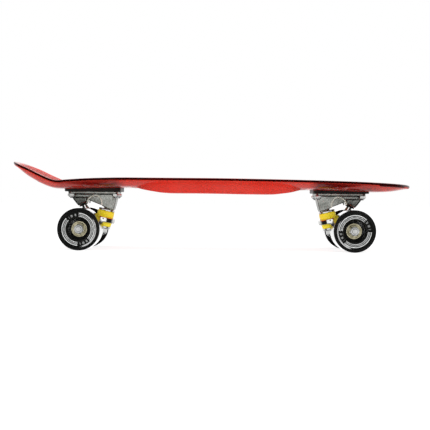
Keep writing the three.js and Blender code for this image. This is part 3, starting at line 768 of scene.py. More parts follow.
    # painted shade: over the riser pads the plastic is painted dark red where the black pads show through, and along
    # the nose a near-black band is painted where the far edge shows through
    over = np.zeros(len(pts))
    for _, cx, turn in TRUCKS:
        u = (pts[:, 0] - cx) * turn
        run = np.clip((u + 40) / 16, 0, 1) * np.clip((64 - u) / 14, 0, 1)
        on_pad = np.clip((30 - np.abs(pts[:, 1])) / 3, 0, 1) * 0.75
        side = np.clip((below - 3.3) / 0.8, 0, 1) * np.clip((30 - away) / 8, 0, 1)
        over = np.maximum(over, run * np.maximum(on_pad * (below < 3), side))
    # painted shade: along the nose the near-black band is painted wider and lower, for the far edge seen through
    nose = np.clip((pts[:, 0] - 228) / 6, 0, 1) * np.clip((276 - pts[:, 0]) / 6, 0, 1)
    edge = np.maximum(edge, nose * np.clip((below - 0.6) / 0.5, 0, 1) * np.clip((5.6 - below) / 0.8, 0, 1) * (away < 3))
    for key, values in (("edge", edge), ("grip", grip), ("over", over)):
        layer = me.attributes.new(key, "FLOAT", "POINT")
        layer.data.foreach_set("value", values.astype(np.float32))
    place(deck, "board", "deck", slot="deck_plastic")
    return deck


# ------------------------------------------------------------------ solids from distance fields
def sd_polygon(points, x, y):
    p = np.array(points, float)
    d = np.full(x.shape, 1e9)
    s = np.ones(x.shape)
    n = len(p)
    for i in range(n):
        j = (i - 1) % n
        ex, ey = p[j] - p[i]
        wx, wy = x - p[i][0], y - p[i][1]
        t = np.clip((wx * ex + wy * ey) / (ex * ex + ey * ey), 0, 1)
        bx, by = wx - ex * t, wy - ey * t
        d = np.minimum(d, bx * bx + by * by)
        c1, c2, c3 = y >= p[i][1], y < p[j][1], ex * wy > ey * wx
        s = np.where((c1 & c2 & c3) | (~c1 & ~c2 & ~c3), -s, s)
    return s * np.sqrt(d)


def sd_line(points, x, y):
    p = np.array(points, float)
    d = np.full(x.shape, 1e9)
    for i in range(len(p) - 1):
        ex, ey = p[i + 1] - p[i]
        wx, wy = x - p[i][0], y - p[i][1]
        t = np.clip((wx * ex + wy * ey) / (ex * ex + ey * ey), 0, 1)
        d = np.minimum(d, np.hypot(wx - ex * t, wy - ey * t))
    return d


def extruded(d2, w, half, r):
    """A flat shape's distance and the offset from its middle plane, as a slab with rounded edges."""
    a, b = d2 + r, np.abs(w) - half + r
    return np.minimum(np.maximum(a, b), 0) + np.hypot(np.maximum(a, 0), np.maximum(b, 0)) - r


def kingpin_frame(u, y, z):
    dx, dz = u - K_SEAT[0], z - K_SEAT[1]
    c, s = math.cos(K_TILT), math.sin(K_TILT)
    return np.hypot(dx * c - dz * s, y), dx * s + dz * c


def pivot_frame(u, y, z):
    dx, dz = u - PIVOT_TIP[0], z - PIVOT_TIP[1]
    c, s = math.cos(-PIVOT_TILT), math.sin(-PIVOT_TILT)
    return np.hypot(dx * c - dz * s, y), dx * s + dz * c


ARM = [
    (15.5, 39.5, 7.0), (9.0, 45.4, 6.6), (3.0, 53.2, 5.3), (-1.6, 61.0, 4.3), (-3.9, 65.8, 3.9),
    (-5.2, 68.3, 2.9),
]
yoke_width = table([(-4, 25), (0, 25), (5, 23.6), (10, 20.6), (14, 18.6), (20, 17.2), (26, 15.6), (34, 9)])
bar_radius = table([(0, 9.1), (10, 9.05), (16, 8.8), (24, 8.0), (31, 7.4), (38, 7.0), (42, 7.0)])


def hanger_field(u, y, z):
    ay = np.abs(y)
    r, h = kingpin_frame(u, y, z)
    ring = extruded(r - 15.6, h + 12.75, 3.45, 1.1)
    bar = smax(np.hypot(u, z - WHEEL_R) - bar_radius(ay), ay - 38, 0.8)
    rise = math.atan2(42.5 - WHEEL_R, 27.4)
    c, s = math.cos(rise), math.sin(rise)
    along = u * c + (z - WHEEL_R) * s
    across = -u * s + (z - WHEEL_R) * c
    yoke = smax(np.abs(across) - 4.3, (ay - yoke_width(along)) * 0.92, 3.4)
    yoke = smax(yoke, np.maximum(-2 - along, along - 34), 2.0)
    body = smin(bar, yoke, 6.0)
    arm = np.full(u.shape, 1e9)
    for (u0, z0, r0), (u1, z1, r1) in zip(ARM[:-1], ARM[1:]):
        ex, ez = u1 - u0, z1 - z0
        t = np.clip(((u - u0) * ex + (z - z0) * ez) / (ex * ex + ez * ez), 0, 1)
        arm = np.minimum(arm, np.sqrt((u - u0 - ex * t) ** 2 + (z - z0 - ez * t) ** 2 + y * y) - (r0 + (r1 - r0) * t))
    body = smin(body, arm, 7.0)
    body = smin(body, ring, 3.6)
    body = smax(body, -(np.maximum(r - 12.7, -10.4 - h)), 0.35)
    body = smax(body, -(np.maximum(r - 8.2, -40 - h)), 0.35)
    low = np.interp(h, [-40, -20.6, -17.4, -15.2], [15.0, 15.0, 12.3, 12.3])
    body = smax(body, -(np.maximum((r - low) * 0.8, h + 15.2)), 0.35)
    body = smax(body, -(np.hypot(u, z - WHEEL_R) - 4.1), 0.25)
    return body


SIDE = [
    (-19.2, 81), (-18.6, 74.2), (-17.0, 71.0), (-12.4, 65.0), (-9.7, 61.8), (3.0, 67.3), (2.8, 70.8),
    (23.2, 62.7), (31.5, 58.7), (41.7, 55.7), (43.0, 59.5), (48.2, 81),
]
ARCH = [
    (3.9, 66.8), (4.4, 69.0), (5.4, 71.2), (6.8, 73.1), (8.6, 74.8), (10.7, 76.1), (13.0, 76.9), (15.3, 77.1),
    (17.5, 76.9), (19.5, 76.1), (21.2, 74.8), (22.6, 73.1), (23.7, 71.2), (24.5, 69.0), (24.9, 66.6),
    (25.2, 63.2),
]


def baseplate_field(u, y, z):
    ay = np.abs(y)
    off = np.abs(u - 13.5)
    plan = np.hypot(np.maximum(off - 31, 0), np.maximum(ay - 21, 0)) - 5
    plan = np.where((off < 31) & (ay < 21), np.maximum(off - 36, ay - 26), plan)
    flange = extruded(plan, z - 80.8, 1.5, 0.6)
    side = sd_polygon(SIDE, u, z)
    body = extruded(side, y, 13.5, 1.3)
    # the pivot boss is narrower than the kingpin boss
    boss = np.maximum(u - 4.5, z - 73.5)
    cut = np.maximum(boss, (10.6 + np.clip((z - 66) * 0.12, -1, 1) - ay))
    body = smax(body, -cut, 2.2)
    pocket = smax(sd_polygon([(-2, 58)] + ARCH + [(24, 52)], u, z), 5.0 - ay, 1.2)
    body = smax(body, -pocket, 0.9)
    bead = np.hypot(sd_line(ARCH, u, z), ay - 12.9) - 1.05
    body = smin(body, bead, 0.8)
    body = smin(body, flange, 2.6)
    body = smax(body, z - 82.3, 0.3)
    r, h = pivot_frame(u, y, z)
    body = smax(body, -np.maximum(r - 6.0, np.maximum(-12 - h, h - 4.6)), 0.3)
    r, h = kingpin_frame(u, y, z)
    body = smax(body, -(r - 5.05), 0.3)
    body = smax(body, -np.maximum(r - 9.2, 20.7 - h), 0.3)
    for bu in BOLT_U:
        body = smax(body, -(np.hypot(u - bu, ay - BOLT_Y) - 2.75), 0.25)
    return body


def field_mesh(field, low, high, h):
    """The field's zero surface as quads, drawn on to the surface itself."""
    axes = [np.arange(a - 1.5 * h, b + 2.5 * h, h) for a, b in zip(low, high)]
    nx, ny, nz = (len(a) for a in axes)
    values = np.empty((nx, ny, nz), np.float32)
    yy, zz = np.meshgrid(axes[1], axes[2], indexing="ij")
    for i, u in enumerate(axes[0]):
        values[i] = field(np.full(yy.shape, u), yy, zz)
    inside = values < 0
    corners = [(a, b, c) for a in (0, 1) for b in (0, 1) for c in (0, 1)]
    count = np.zeros((nx - 1, ny - 1, nz - 1), np.int8)
    for a, b, c in corners:
        count += inside[a:nx - 1 + a, b:ny - 1 + b, c:nz - 1 + c]
    cells = np.argwhere((count > 0) & (count < 8))
    index = np.full((nx - 1, ny - 1, nz - 1), -1, np.int64)
    index[tuple(cells.T)] = np.arange(len(cells))
    v = {k: values[cells[:, 0] + k[0], cells[:, 1] + k[1], cells[:, 2] + k[2]] for k in corners}
    total = np.zeros((len(cells), 3))
    hits = np.zeros(len(cells))
    for k in corners:
        for axis in range(3):
            if k[axis]:
                continue
            k2 = tuple(1 if i == axis else k[i] for i in range(3))
            fa, fb = v[k], v[k2]
            cross = (fa < 0) != (fb < 0)
            t = np.where(cross, fa / np.where(fa == fb, 1, fa - fb), 0)
            p = np.tile(np.array(k, float), (len(cells), 1))
            p[:, axis] = t
            total[cross] += p[cross]
            hits[cross] += 1
    start = np.array([a[0] for a in axes])
    co = start + (cells + total / hits[:, None]) * h
    quads = []
    for axis in range(3):
        b, c = (axis + 1) % 3, (axis + 2) % 3
        a0 = [slice(None)] * 3
        a1 = [slice(None)] * 3
        a0[axis], a1[axis] = slice(0, -1), slice(1, None)
        s0, s1 = inside[tuple(a0)], inside[tuple(a1)]
        edges = np.argwhere(s0 != s1)
        ok = (edges[:, b] > 0) & (edges[:, c] > 0) & (edges[:, b] < values.shape[b] - 1) & (edges[:, c] < values.shape[c] - 1)
        edges = edges[ok]
        first = s0[tuple(edges.T)]

        def cell(db, dc):
            e = edges.copy()
            e[:, b] -= db
            e[:, c] -= dc
            return index[tuple(e.T)]

        q = np.stack([cell(1, 1), cell(0, 1), cell(0, 0), cell(1, 0)], 1)
        q[~first] = q[~first][:, ::-1]
        quads.append(q)
    quads = np.concatenate(quads)
    e = 0.02
    for _ in range(4):
        f0 = field(*co.T)
        g = np.stack(
            [(field(*(co + d).T) - field(*(co - d).T)) / (2 * e) for d in np.eye(3) * e], 1
        )
        step = f0[:, None] * g / np.maximum((g * g).sum(1), 0.25)[:, None]
        length = np.linalg.norm(step, axis=1)
        step *= np.minimum(1, 0.35 * h / np.maximum(length, 1e-9))[:, None]
        co = co - step
    return co, quads


# ------------------------------------------------------------------ fasteners and turned parts
def thread(core, major, pitch, z0, z1, n=48, fade=1.0, per=5):
    """Rows of a helical thread between two heights, as rings from z0 to z1."""
    ang = np.arange(n) * 2 * math.pi / n
    rows = max(4, int(abs(z1 - z0) / pitch * per))
    rings = []
    for k in range(rows + 1):
        z = z0 + (z1 - z0) * k / rows
        phase = (z / pitch - ang / (2 * math.pi)) % 1.0
        wave = 1 - np.abs(2 * phase - 1)
        edge = min(1.0, abs(z - z0) / fade, abs(z - z1) / fade)
        r = core + (major - core) * wave * edge
        rings.append(np.stack([r * np.cos(ang), r * np.sin(ang), np.full(n, z)], 1))
    return rings


def plain_ring(r, z, n=48):
    ang = np.arange(n) * 2 * math.pi / n
    return np.stack([r * np.cos(ang), r * np.sin(ang), np.full(n, z)], 1)


def capped(rings):
    co, quads = ring_stack(rings, False)
    n = len(rings[0])
    a, b = len(co), len(co) + 1
    co = np.vstack([co, [rings[0].mean(0)], [rings[-1].mean(0)]])
    i = np.arange(n)
    j = (i + 1) % n
    last = (len(rings) - 1) * n
    tris = np.concatenate(
        [np.stack([np.full(n, a), i, j], 1), np.stack([np.full(n, b), last + j, last + i], 1)]
    )
    return co, quads, tris


def lock_nut(af, bore, collar, z0, z1, z2, n=72, thread_pitch=None):
    """A chamfered hexagon from z0 to z1 with a rounded collar on to z2 and a bore with a countersink."""
    sign = 1 if z1 > z0 else -1
    ang = np.arange(n) * 2 * math.pi / n
    rh = af / 2 / np.cos((ang + math.pi / 6) % (math.pi / 3) - math.pi / 6)
    rc = af / 2 * 0.985
    drop = np.maximum(0, (rh - rc)) * math.tan(math.radians(30))

    def ring(r, z):
        return np.stack([r * np.cos(ang), r * np.sin(ang), z + np.zeros(n)], 1)

    c = lambda r: np.full(n, r)
    rings = [
        ring(c(bore + 0.45), z0), ring(c(rc * 0.93), z0), ring(c(rc), z0 + 0.02 * sign),
        ring(rh * 0.996, z0 + (drop + 0.08) * sign), ring(rh, z0 + (drop + 0.3) * sign),
        ring(rh, z1 - (drop + 0.3) * sign), ring(rh * 0.996, z1 - (drop + 0.08) * sign),
        ring(c(rc), z1 - 0.02 * sign), ring(c(collar + 0.35), z1), ring(c(collar), z1 + 0.3 * sign),
        ring(c(collar), z2 - 0.55 * sign), ring(c(collar - 0.16), z2 - 0.16 * sign), ring(c(collar - 0.55), z2),
        ring(c(bore + 0.5), z2), ring(c(bore), z2 - 0.35 * sign), ring(c(bore), z0 + 0.45 * sign),
    ]
    co, quads = ring_stack(rings, True)
    # the collar's inner face shows the locking insert
    mat = np.zeros(len(quads), int)
    row = np.arange(len(quads)) // n
    mat[(row >= 12) & (row <= 13)] = 1
    return co, quads, mat


def make_truck(name, cx, turn):
    M = TRUCK_M[name]
    MK = M @ KINGPIN
    MP = M @ PIVOT
    body = name + "_truck"

    # riser pad: a rounded slab with four holes
    x0, x1, hy, z0, z1 = RISER
    rows = []
    for d, z in (
        (3.0, z0), (0.75, z0), (0.35, z0 + 0.12), (0.1, z0 + 0.4), (0.0, z0 + 0.8),
        (0.0, z1 - 0.8), (0.1, z1 - 0.4), (0.35, z1 - 0.12), (0.75, z1), (3.0, z1),
    ):
        loop = rounded_rect(x0 + d, x1 - d, -hy + d, hy - d, 5 - d * 0.9, 8)
        rows.append(np.column_stack([loop, np.full(len(loop), z)]))
    n = len(rows[0])
    co, quads = ring_stack(rows, False)
    ends = np.array([list(range(n)), list(range(len(co) - 1, len(co) - n - 1, -1))])
    pad = add_mesh(name + "_riser", moved(co, M), [quads, ends], [PAD_BLACK], sharp=40)
    holes = []
    for u in BOLT_U:
        for y in (-BOLT_Y, BOLT_Y):
            c, q, t = lathe([(0, z0 - 3), (2.8, z0 - 3), (2.8, z1 + 3), (0, z1 + 3)], 32)
            holes.append((moved(c + [u, y, 0], M), q, t))
    co, quads, tris = weld(holes)
    boolean(pad, add_mesh("holes", co, [quads, tris], [], sharp=None), "DIFFERENCE", 40)
    place(pad, "board", name + "_riser_pad", slot="pad_plastic")

    # baseplate and hanger
    for key, data, mat, rider, slot_name, sharp in (
        ("baseplate", BASEPLATE, CAST, "board", "cast_aluminium", 38),
        ("hanger", HANGER, POLISHED, body, "polished_aluminium", 38),
    ):
        if key == "baseplate":
            # painted highlight: faces on the bead round the arch get the lighter bead material
            mid = data[0][data[1]].mean(1)
            away = np.hypot(sd_line(ARCH, mid[:, 0], mid[:, 2]), np.abs(mid[:, 1]) - 12.9)
            bead_highlight_faces = ((away < 1.25) & (np.abs(mid[:, 1]) > 13.1)).astype(int)
            mats = [mat, BEAD_HIGHLIGHT]
        else:
            bead_highlight_faces = np.zeros(len(data[1]), int)
            mats = [mat]
        o = add_mesh(name + "_" + key + "_casting", moved(data[0], M), [data[1]], mats, bead_highlight_faces, sharp=sharp)
        place(o, rider, name + "_" + key, slot=slot_name)

    # pivot cup
    prof = rounded(
        [(0, 4.3), (5.7, 4.3, 0.6), (5.7, -3.6), (6.9, -4.0, 0.3), (6.9, -5.2, 0.4), (5.1, -5.2, 0.4), (4.7, 1.6, 0.8),
         (3.0, 3.0, 0.8), (0, 3.2)]
    )
    co, quads, tris = lathe(prof, 56)
    o = add_mesh(name + "_pivot_bush", moved(co, MP), [quads, tris], [CUP_BLACK], sharp=35)
    place(o, "board", name + "_pivot_cup", slot="pad_plastic")

    # kingpin: shaft with a thread at its lower end, hexagon head
    n = 72
    r = 4.72
    rings = [plain_ring(r - 1.1, -35.2, n), plain_ring(r - 0.6, -35.1, n)]
    rings += thread(r - 0.55, r, 1.05, -34.9, -27.5, n, 0.7, 6)
    rings += [plain_ring(r, -27.0, n), plain_ring(r, 20.6, n), plain_ring(r + 0.2, 21.0, n)]
    ang = np.arange(n) * 2 * math.pi / n
    rh = 7.15 / np.cos((ang + math.pi / 6) % (math.pi / 3) - math.pi / 6)
    hexr = lambda k, z: np.stack([rh * k * np.cos(ang), rh * k * np.sin(ang), np.full(n, z)], 1)
    rings += [hexr(0.97, 21.0), hexr(1.0, 21.3), hexr(1.0, 24.7), hexr(0.96, 25.15), hexr(0.5, 25.2)]
    co, quads, tris = capped(rings)
    o = add_mesh(name + "_kingpin_bolt", moved(co, MK), [quads, tris], [ZINC], sharp=35)
    place(o, "board", name + "_kingpin", slot="zinc_steel")

    # cup washers
    upper = rounded(
        [(5.05, 1.5, 0.2), (11.6, 1.5, 0.5), (11.6, 0.05, 0.15), (12.3, 0.05, 0.2), (12.3, 2.0, 0.8), (11.3, 3.1, 0.7), (5.05, 3.1, 0.2)], 5
    )
    lower = rounded(
        [(5.05, -24.0, 0.2), (10.1, -24.0, 0.4), (10.1, -22.5, 0.15), (10.8, -22.5, 0.15), (10.8, -24.8, 0.7), (9.9, -25.5, 0.6), (5.05, -25.5, 0.2)], 5
    )
    for key, prof in (("upper", upper), ("lower", lower)):
        co, quads, tris = lathe(prof, 96)
        o = add_mesh(f"{name}_{key}_cup_washer", moved(co, MK), [quads, tris], [WASHER], sharp=40)
        place(o, "board", f"{name}_{key}_washer", slot="zinc_steel")

    # bushings: the barrel and the cone between board and hanger
    barrel = rounded(
        [(5.05, 1.3, 0.3), (11.2, 1.3, 0.5), (11.35, -0.2, 0.6), (12.1, -0.9, 0.7), (12.35, -4.6, 3.0), (11.95, -10.1, 0.5), (5.05, -10.1, 0.3)], 6
    )
    cone = rounded(
        [(5.05, -15.5, 0.3), (11.5, -15.5, 0.4), (11.9, -16.9, 0.9), (10.95, -22.0, 0.4), (9.9, -22.35, 0.4), (9.8, -23.8, 0.4), (5.05, -23.8, 0.3)], 6
    )
    for key, prof, top, bottom in (("upper", barrel, 1.0, -9.6), ("lower", cone, -23.4, -16.0)):
        dense = []
        for a, b in zip(prof, prof[1:] + prof[:1]):
            k = max(1, int(math.hypot(b[0] - a[0], b[1] - a[1]) / 1.3))
            dense += [[a[0] + (b[0] - a[0]) * t / k, a[1] + (b[1] - a[1]) * t / k] for t in range(k)]
        co, quads, tris = lathe(dense, 96)
        o = add_mesh(f"{name}_{key}_bushing_urethane", moved(co, MK), [quads, tris], [YELLOW], sharp=40)
        ends = (moved([[0, 0, top], [0, 0, bottom]], MK) + [MIDDLE, 0, 0]) * MM
        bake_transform(o)
        place(o, None, f"{name}_{key}_bushing", slot="bushing_urethane")

    # kingpin nut
    co, quads, mat = lock_nut(14.3, 5.0, 6.5, -25.7, -32.0, -33.8, 96)
    o = add_mesh(name + "_kingpin_lock_nut", moved(co, MK), [quads], [ZINC, NYLON], mat, sharp=30)
    place(o, "board", name + "_kingpin_nut", slot="zinc_steel")

    # axle with threaded ends
    n = 64
    rings = [plain_ring(2.9, -AXLE_END, n), plain_ring(3.35, -AXLE_END + 0.15, n)]
    rings += thread(3.5, 3.98, 1.06, -AXLE_END + 0.5, -62.5, n, 0.8, 6)
    rings += [plain_ring(3.98, -61.8, n), plain_ring(3.98, 61.8, n)]
    rings += thread(3.5, 3.98, 1.06, 62.5, AXLE_END - 0.5, n, 0.8, 6)
    rings += [plain_ring(3.35, AXLE_END - 0.15, n), plain_ring(2.9, AXLE_END, n)]
    co, quads, tris = capped(rings)
    o = add_mesh(name + "_axle_rod", moved(co, M @ T(0, 0, WHEEL_R) @ R("X", math.pi / 2)), [quads, tris], [ZINC], sharp=35)
    place(o, body, name + "_axle", slot="zinc_steel")

    # mounting bolts with cross-recessed heads, and their nuts
    for u in BOLT_U:
        for y in (-BOLT_Y, BOLT_Y):
            spot = name + "_" + ("inner" if u > 0 else "outer")
            side = "left" if y * turn > 0 else "right"
            x = cx + turn * u
            head = float(rim_top(x)) - RIM_STEP
            n = 48
            rings = [plain_ring(1.7, 72.8, n), plain_ring(2.05, 72.95, n)]
            rings += thread(2.05, 2.4, 0.8, 73.3, 78.8, n, 0.5, 5)
            rings += [
                plain_ring(2.4, 79.4, n), plain_ring(2.4, head - 3.3, n), plain_ring(4.55, head - 0.95, n),
                plain_ring(4.7, head - 0.75, n), plain_ring(4.72, head - 0.45, n), plain_ring(4.5, head - 0.2, n),
                plain_ring(3.6, head - 0.1, n), plain_ring(2.0, head - 0.1, n),
            ]
            co, quads, tris = capped(rings)
            bolt = add_mesh(f"{spot}_{side}_bolt", co + [x, y * turn, 0], [quads, tris], [ZINC], sharp=35)
            for a in (0.25 * math.pi, 0.75 * math.pi):
                arm = np.array([[-2.5, -0.5], [2.5, -0.5], [2.5, 0.5], [-2.5, 0.5]])
                c, s = math.cos(a), math.sin(a)
                top_loop = arm @ np.array([[c, s], [-s, c]]) + [x, y * turn]
                low = arm * [0.35, 0.7] @ np.array([[c, s], [-s, c]]) + [x, y * turn]
                rco = np.vstack([np.column_stack([low, np.full(4, head - 2.1)]), np.column_stack([top_loop, np.full(4, head + 0.4)])])
                faces = np.array([[3, 2, 1, 0], [4, 5, 6, 7], [0, 1, 5, 4], [1, 2, 6, 5], [2, 3, 7, 6], [3, 0, 4, 7]])
                boolean(bolt, add_mesh("recess", rco, [faces], [], sharp=None), "DIFFERENCE", 35)
            bolt.data.materials.clear()
            bolt.data.materials.append(ZINC)
            bolt.data.polygons.foreach_set("material_index", np.zeros(len(bolt.data.polygons), np.int32))
            place(bolt, "board", f"{spot}_{side}_mounting_bolt", slot="zinc_steel")
            co, quads, mat = lock_nut(9.5, 2.5, 4.0, 79.15, 75.6, 74.4, 72)
            co = moved(co, R("Z", 0.3 * (1 if y > 0 else -1) + u)) + [x, y * turn, 0]
            o = add_mesh(f"{spot}_{side}_nut", co, [quads], [ZINC, NYLON], mat, sharp=30)
            place(o, "board", f"{spot}_{side}_mounting_nut", slot="zinc_steel")


# ------------------------------------------------------------------ wheels
def make_wheel(name, cx, side, sign, turn_deg):
    """One corner: wheel, two bearings, sleeve and axle nut. Local Z is the wheel's outward axis."""
    # local z -> outward along Y, local x -> seen to the right from outside
    M = T(cx, sign * 51, WHEEL_R) @ (R("X", -math.pi / 2) if sign > 0 else R("X", math.pi / 2))
    tag = name + "_" + side
    rider = tag + "_rolling"
    n = 288
    half = 22.5
    # from the bearing bore outwards over the face to the tread
    face = rounded(
        [
            (9.4, 5.0), (11.05, 5.0, 0.2), (11.05, 12.2, 0.3), (12.1, 12.25, 0.3), (12.5, 13.1, 0.5), (14.9, 13.4, 0.8), (16.9, 21.2, 1.1),
        ],
        4,
    )
    face = face[:-5] + face[-5:]
    lip = [(17.45, half - 0.32), (17.7, half - 0.12)]
    band = [17.7, 18.45, 19.3, 20.7, 21.7, 22.8]
    flat = [(r, half - 0.02) for r in band]
    shoulder = [(23.1, half - 0.05), (23.6, half - 0.15), (25.1, half - 0.55), (25.5, half - 0.62), (26.9, half - 0.68)]
    for k in range(11):
        a = math.radians(84 * (1 - k / 10))
        shoulder.append((27.1 + 2.4 * math.cos(a), 19.3 + 2.5 * math.sin(a)))
    outer = face + lip + flat + shoulder
    tread = [(WHEEL_R, 12.0), (WHEEL_R, 6.0)]
    upper = outer + tread
    profile = upper + [(WHEEL_R, 0.0)] + [(r, -z) for r, z in reversed(upper)]
    profile = [(float(r), float(z)) for r, z in profile]
    co, quads, tris = lathe(profile, n)
    # printed ring: two long bands of checks between two lines, and short dashes in the gaps
    k0 = len(face) + len(lip)
    rows = np.arange(len(quads)) // n
    col = np.arange(len(quads)) % n
    # column angle, seen from outside, anticlockwise from the right; the right side is turned so that it reads alike
    ang = (col + 0.5) * 360.0 / n
    a = (ang - turn_deg) % 360.0
    mat = np.zeros(len(quads), int)

    def within(lo, hi):
        return ((a - lo) % 360.0) < ((hi - lo) % 360.0)

    long_arc = within(-44, 87) | within(138, 267)
    short_arc = within(97, 129) | within(278, 310)
    check = (np.floor(a / 2.5).astype(int) % 2) == 0
    for line in (0, 4):
        mat[(rows == k0 + line) & long_arc] = 1
    mat[(rows == k0 + 2) & long_arc & check] = 1
    bars = (np.floor(a / 8.0).astype(int) % 2) == 0
    mat[(rows >= k0 + 1) & (rows <= k0 + 3) & short_arc & bars] = 2
    # the rounded corner keeps the mould's dull finish; the face and the tread are glossy
    radius = np.linalg.norm(co[:, :2], axis=1)[quads].mean(1)
    height = np.abs(co[quads][:, :, 2]).mean(1)
    mat[(radius > 25.6) & (height > 19.0)] = 3
    o = add_mesh(tag + "_tyre", moved(co, M), [quads], [TYRE, PRINT, PRINT_DIM, RIM], mat, sharp=35)
    place(o, rider, tag + "_wheel", slot="wheel_urethane")
    TYRES.append(o)

    # bearings: outer ring with a sunk shield on both faces
    for key, base in (("outer", 5.0), ("inner", -12.0)):
        ringp = rounded(
            [(11.0, 0, 0.35), (11.0, 7, 0.35), (9.6, 7, 0.15), (9.45, 6.72), (9.3, 6.62), (6.5, 6.62), (6.3, 6.45),
             (6.3, 0.55), (6.5, 0.38), (9.3, 0.38), (9.45, 0.28), (9.6, 0, 0.15)],
            4,
        )
        co, quads, tris = lathe([(r, z + base) for r, z in ringp], 96)
        rr_ = np.linalg.norm(co[:, :2], axis=1)
        centre = rr_[quads].mean(1)
        mat = ((centre < 9.25) | ((centre > 9.6) & (centre < 10.8))).astype(int)
        o = add_mesh(f"{tag}_{key}_race", moved(co, M), [quads], [RACE, SHIELD], mat, sharp=35)
        place(o, rider, f"{tag}_{key}_bearing", slot="bearing_steel")

    # inner rings, spacer and speed rings
    far = 12.0
    sleeve = [(4.1, far + 0.95), (5.3, far + 0.95), (5.75, far + 0.85), (5.95, far + 0.55), (5.95, far + 0.1), (5.8, far), (5.98, far - 0.2), (5.98, 5.2), (5.3, 5.0)]
    prof = sleeve + [(r, -z) for r, z in reversed(sleeve)]
    co, quads, tris = lathe(prof, 80)
    o = add_mesh(tag + "_inner_stack", moved(co, M), [quads], [RACE], sharp=35)
    place(o, name + "_truck", tag + "_bearing_sleeve", slot="bearing_steel")

    # axle nut
    co, quads, mat = lock_nut(12.7, 4.15, 5.6, 0, 4.4, 6.0, 96)
    spin = R("Z", math.radians(12 if sign * turn_deg >= 0 else 41))
    o = add_mesh(tag + "_lock_nut", moved(moved(co, spin) + [0, 0, far + 1.1], M), [quads], [ZINC, NYLON_CLEAR], mat, sharp=30)
    place(o, name + "_truck", tag + "_axle_nut", slot="zinc_steel")


RIM = simple("rim_black", (0.004, 0.004, 0.0038), (0.009, 0.009, 0.0085), 0.62, 0.8, 0, 45, 0.25, 0.0003, 420, spec=0.06)
PRINT_DIM = simple("print_dim", (0.16, 0.165, 0.16), (0.22, 0.225, 0.22), 0.25, 0.36, 0, 120, 0.1, 0.0001, 600)
NYLON_CLEAR = simple("nylon_white", (0.55, 0.56, 0.56), (0.62, 0.63, 0.63), 0.35, 0.45, 0, 120, 0.1, 0.0001, 600)

make_deck()
GRID = 0.62
BASEPLATE = field_mesh(baseplate_field, (-23.17, -27.11, 53.87), (51, 27.11, 83), GRID)
HANGER = field_mesh(hanger_field, (-10, -39, 20), (44, 39, 72), GRID)
for name, cx, turn in TRUCKS:
    make_truck(name, cx, turn)
    for side, sign in (("left", 1), ("right", -1)):
        make_wheel(name, cx, side, sign, 0 if name == "rear" else 90)

# ------------------------------------------------------------------ floor, light
fm, fnt, fb, _ = material("floor_pale")
fb.inputs["Base Color"].default_value = (0.3, 0.3, 0.3, 1)
fb.inputs["Roughness"].default_value = 0.7
fb.inputs["Specular IOR Level"].default_value = 0.0
fb.inputs["Emission Color"].default_value = (1, 1, 1, 1)
fb.inputs["Emission Strength"].default_value = 0.84
fme = bpy.data.meshes.new("floor")
S = 14.0
fme.from_pydata([(-S, -S, 0), (S, -S, 0), (S, S, 0), (-S, S, 0)], [], [(0, 1, 2, 3)])
fme.materials.append(fm)
floor = bpy.data.objects.new("floor", fme)
floor.visible_glossy = False
scene.collection.objects.link(floor)
floor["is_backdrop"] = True

# a white sweep behind the board, and a dim room on the near side that only shows in polished faces
world = bpy.data.worlds.new("studio")
scene.world = world
world.use_nodes = True
wn = world.node_tree
bg = wn.nodes["Background"]
bg.inputs["Strength"].default_value = 1.0
wc = node(wn, "ShaderNodeTexCoord")
ws = node(wn, "ShaderNodeSeparateXYZ")
wn.links.new(wc.outputs["Generated"], ws.inputs["Vector"])


def grey_of(nt, value):
    n = node(nt, "ShaderNodeCombineColor")
    for k in ("Red", "Green", "Blue"):
        nt.links.new(value, n.inputs[k])
    return n.outputs["Color"]


seen = node(wn, "ShaderNodeLightPath")
through = remap(wn, ws.outputs["Y"], -0.9, 0.1, 0.45, 1.0)
mirrored = remap(wn, ws.outputs["Y"], -0.15, 0.45, 0.02, 1.0)
mirrored = maths(wn, "MULTIPLY", mirrored, remap(wn, ws.outputs["Z"], -0.5, 0.0, 0.38, 1.0))
lit = mix_links(wn, seen.outputs["Is Glossy Ray"], (0.95, 0.95, 0.95), grey_of(wn, mirrored))
lit = mix_links(wn, seen.outputs["Is Transmission Ray"], lit, grey_of(wn, through))
lit = mix_links(wn, seen.outputs["Is Camera Ray"], lit, (1.0, 1.0, 1.0))
wn.links.new(lit, bg.inputs["Color"])


def area(name, loc, aim, size, radiance, glossy=True):
    data = bpy.data.lights.new(name, "AREA")
    data.shape = "RECTANGLE"
    data.size, data.size_y = size
    data.energy = radiance * math.pi * size[0] * size[1]
    o = bpy.data.objects.new(name, data)
    o.location = loc
    o.rotation_euler = (Vector(aim) - Vector(loc)).to_track_quat("-Z", "Y").to_euler()
    o.visible_camera = False
    o.visible_glossy = glossy
    scene.collection.objects.link(o)
    return o


area("overhead", (0, -0.1, 1.5), (0, 0, 0.1), (2.4, 1.2), 1.2, glossy=False)
area("front_left", (-1.3, -1.6, 0.9), (0, 0, 0.08), (0.9, 0.9), 2.6, glossy=False)
area("front_right", (1.3, -1.6, 0.9), (0, 0, 0.08), (0.9, 0.9), 2.6, glossy=False)


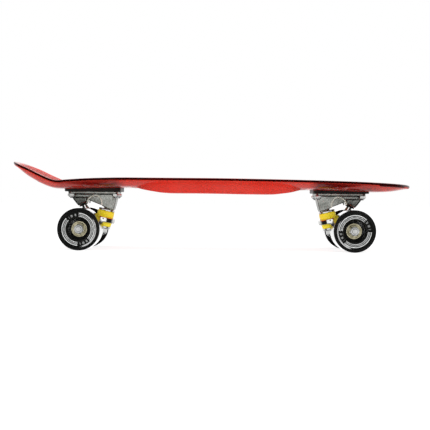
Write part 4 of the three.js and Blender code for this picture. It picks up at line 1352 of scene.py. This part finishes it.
def card(name, corners, strength, pieces):
    """A white reflector that shows only in some polished faces."""
    cm, _, cb, _ = material(name)
    cb.inputs["Base Color"].default_value = (0, 0, 0, 1)
    cb.inputs["Specular IOR Level"].default_value = 0.0
    cb.inputs["Emission Color"].default_value = (1, 1, 1, 1)
    # nearly clear, so that it doesn't hide the room from the other pieces
    cb.inputs["Alpha"].default_value = 0.1
    cb.inputs["Emission Strength"].default_value = strength / 0.1
    cm.cycles.emission_sampling = "NONE"
    me = bpy.data.meshes.new(name)
    me.from_pydata(corners, [], [tuple(range(len(corners)))])
    me.materials.append(cm)
    o = bpy.data.objects.new(name, me)
    o.visible_camera = o.visible_diffuse = o.visible_transmission = o.visible_shadow = False
    scene.collection.objects.link(o)
    o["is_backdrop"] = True
    lit_by = bpy.data.collections.new(name + "_lights")
    for piece in pieces:
        lit_by.objects.link(piece)
    o.light_linking.receiver_collection = lit_by
    return o


def bent_strip(path, width):
    p = np.array(path, float)
    d = np.gradient(p, axis=0)
    d /= np.linalg.norm(d, axis=1)[:, None]
    side = np.column_stack([-d[:, 1], d[:, 0]]) * width[:, None]
    return np.vstack([p + side, (p - side)[::-1]])


# one bent reflector for each near wheel, low and towards the board's middle
LOCUS = [(-0.045, 0.15), (-0.012, 0.07), (-0.004, 0.01), (-0.012, -0.05), (-0.038, -0.115), (-0.076, -0.165), (-0.125, -0.20), (-0.2, -0.235)]
for end, mirror in (("rear", 1), ("front", -1)):
    strip = bent_strip(LOCUS, np.array([0.02, 0.024, 0.028, 0.032, 0.036, 0.04, 0.042, 0.042]))
    card(
        "card_" + end, [(0.0025 + mirror * x, -0.52, z) for x, z in strip], 15.0,
        [o for o in TYRES if o.name == end + "_right_tyre"],
    )
# the bright end of the room, seen along the treads
card("card_tread", [(-0.8, 1.1, -0.7), (0.8, 1.1, -0.7), (0.8, 1.1, 0.5), (-0.8, 1.1, 0.5)], 1.0, TYRES)
METAL = [o for o in PIECES if any(k in o.name for k in ("nut", "race", "stack", "washer", "bolt", "axle_rod"))]
card("card_metal", [(-2.6, -1.2, -0.8), (2.6, -1.2, -0.8), (2.6, -1.2, 0.5), (-2.6, -1.2, 0.5)], 0.85, METAL)
CASTINGS = [o for o in PIECES if "casting" in o.name]
card("card_castings", [(-0.35, -1.0, -0.55), (0.35, -1.0, -0.55), (0.35, -1.0, 0.75), (-0.35, -1.0, 0.75)], 1.05, CASTINGS)

scene.view_settings.view_transform = "Standard"
scene.view_settings.look = "None"

{"cad": CAD_BOX, "visual": [[float(c) for c in corner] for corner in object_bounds()]}
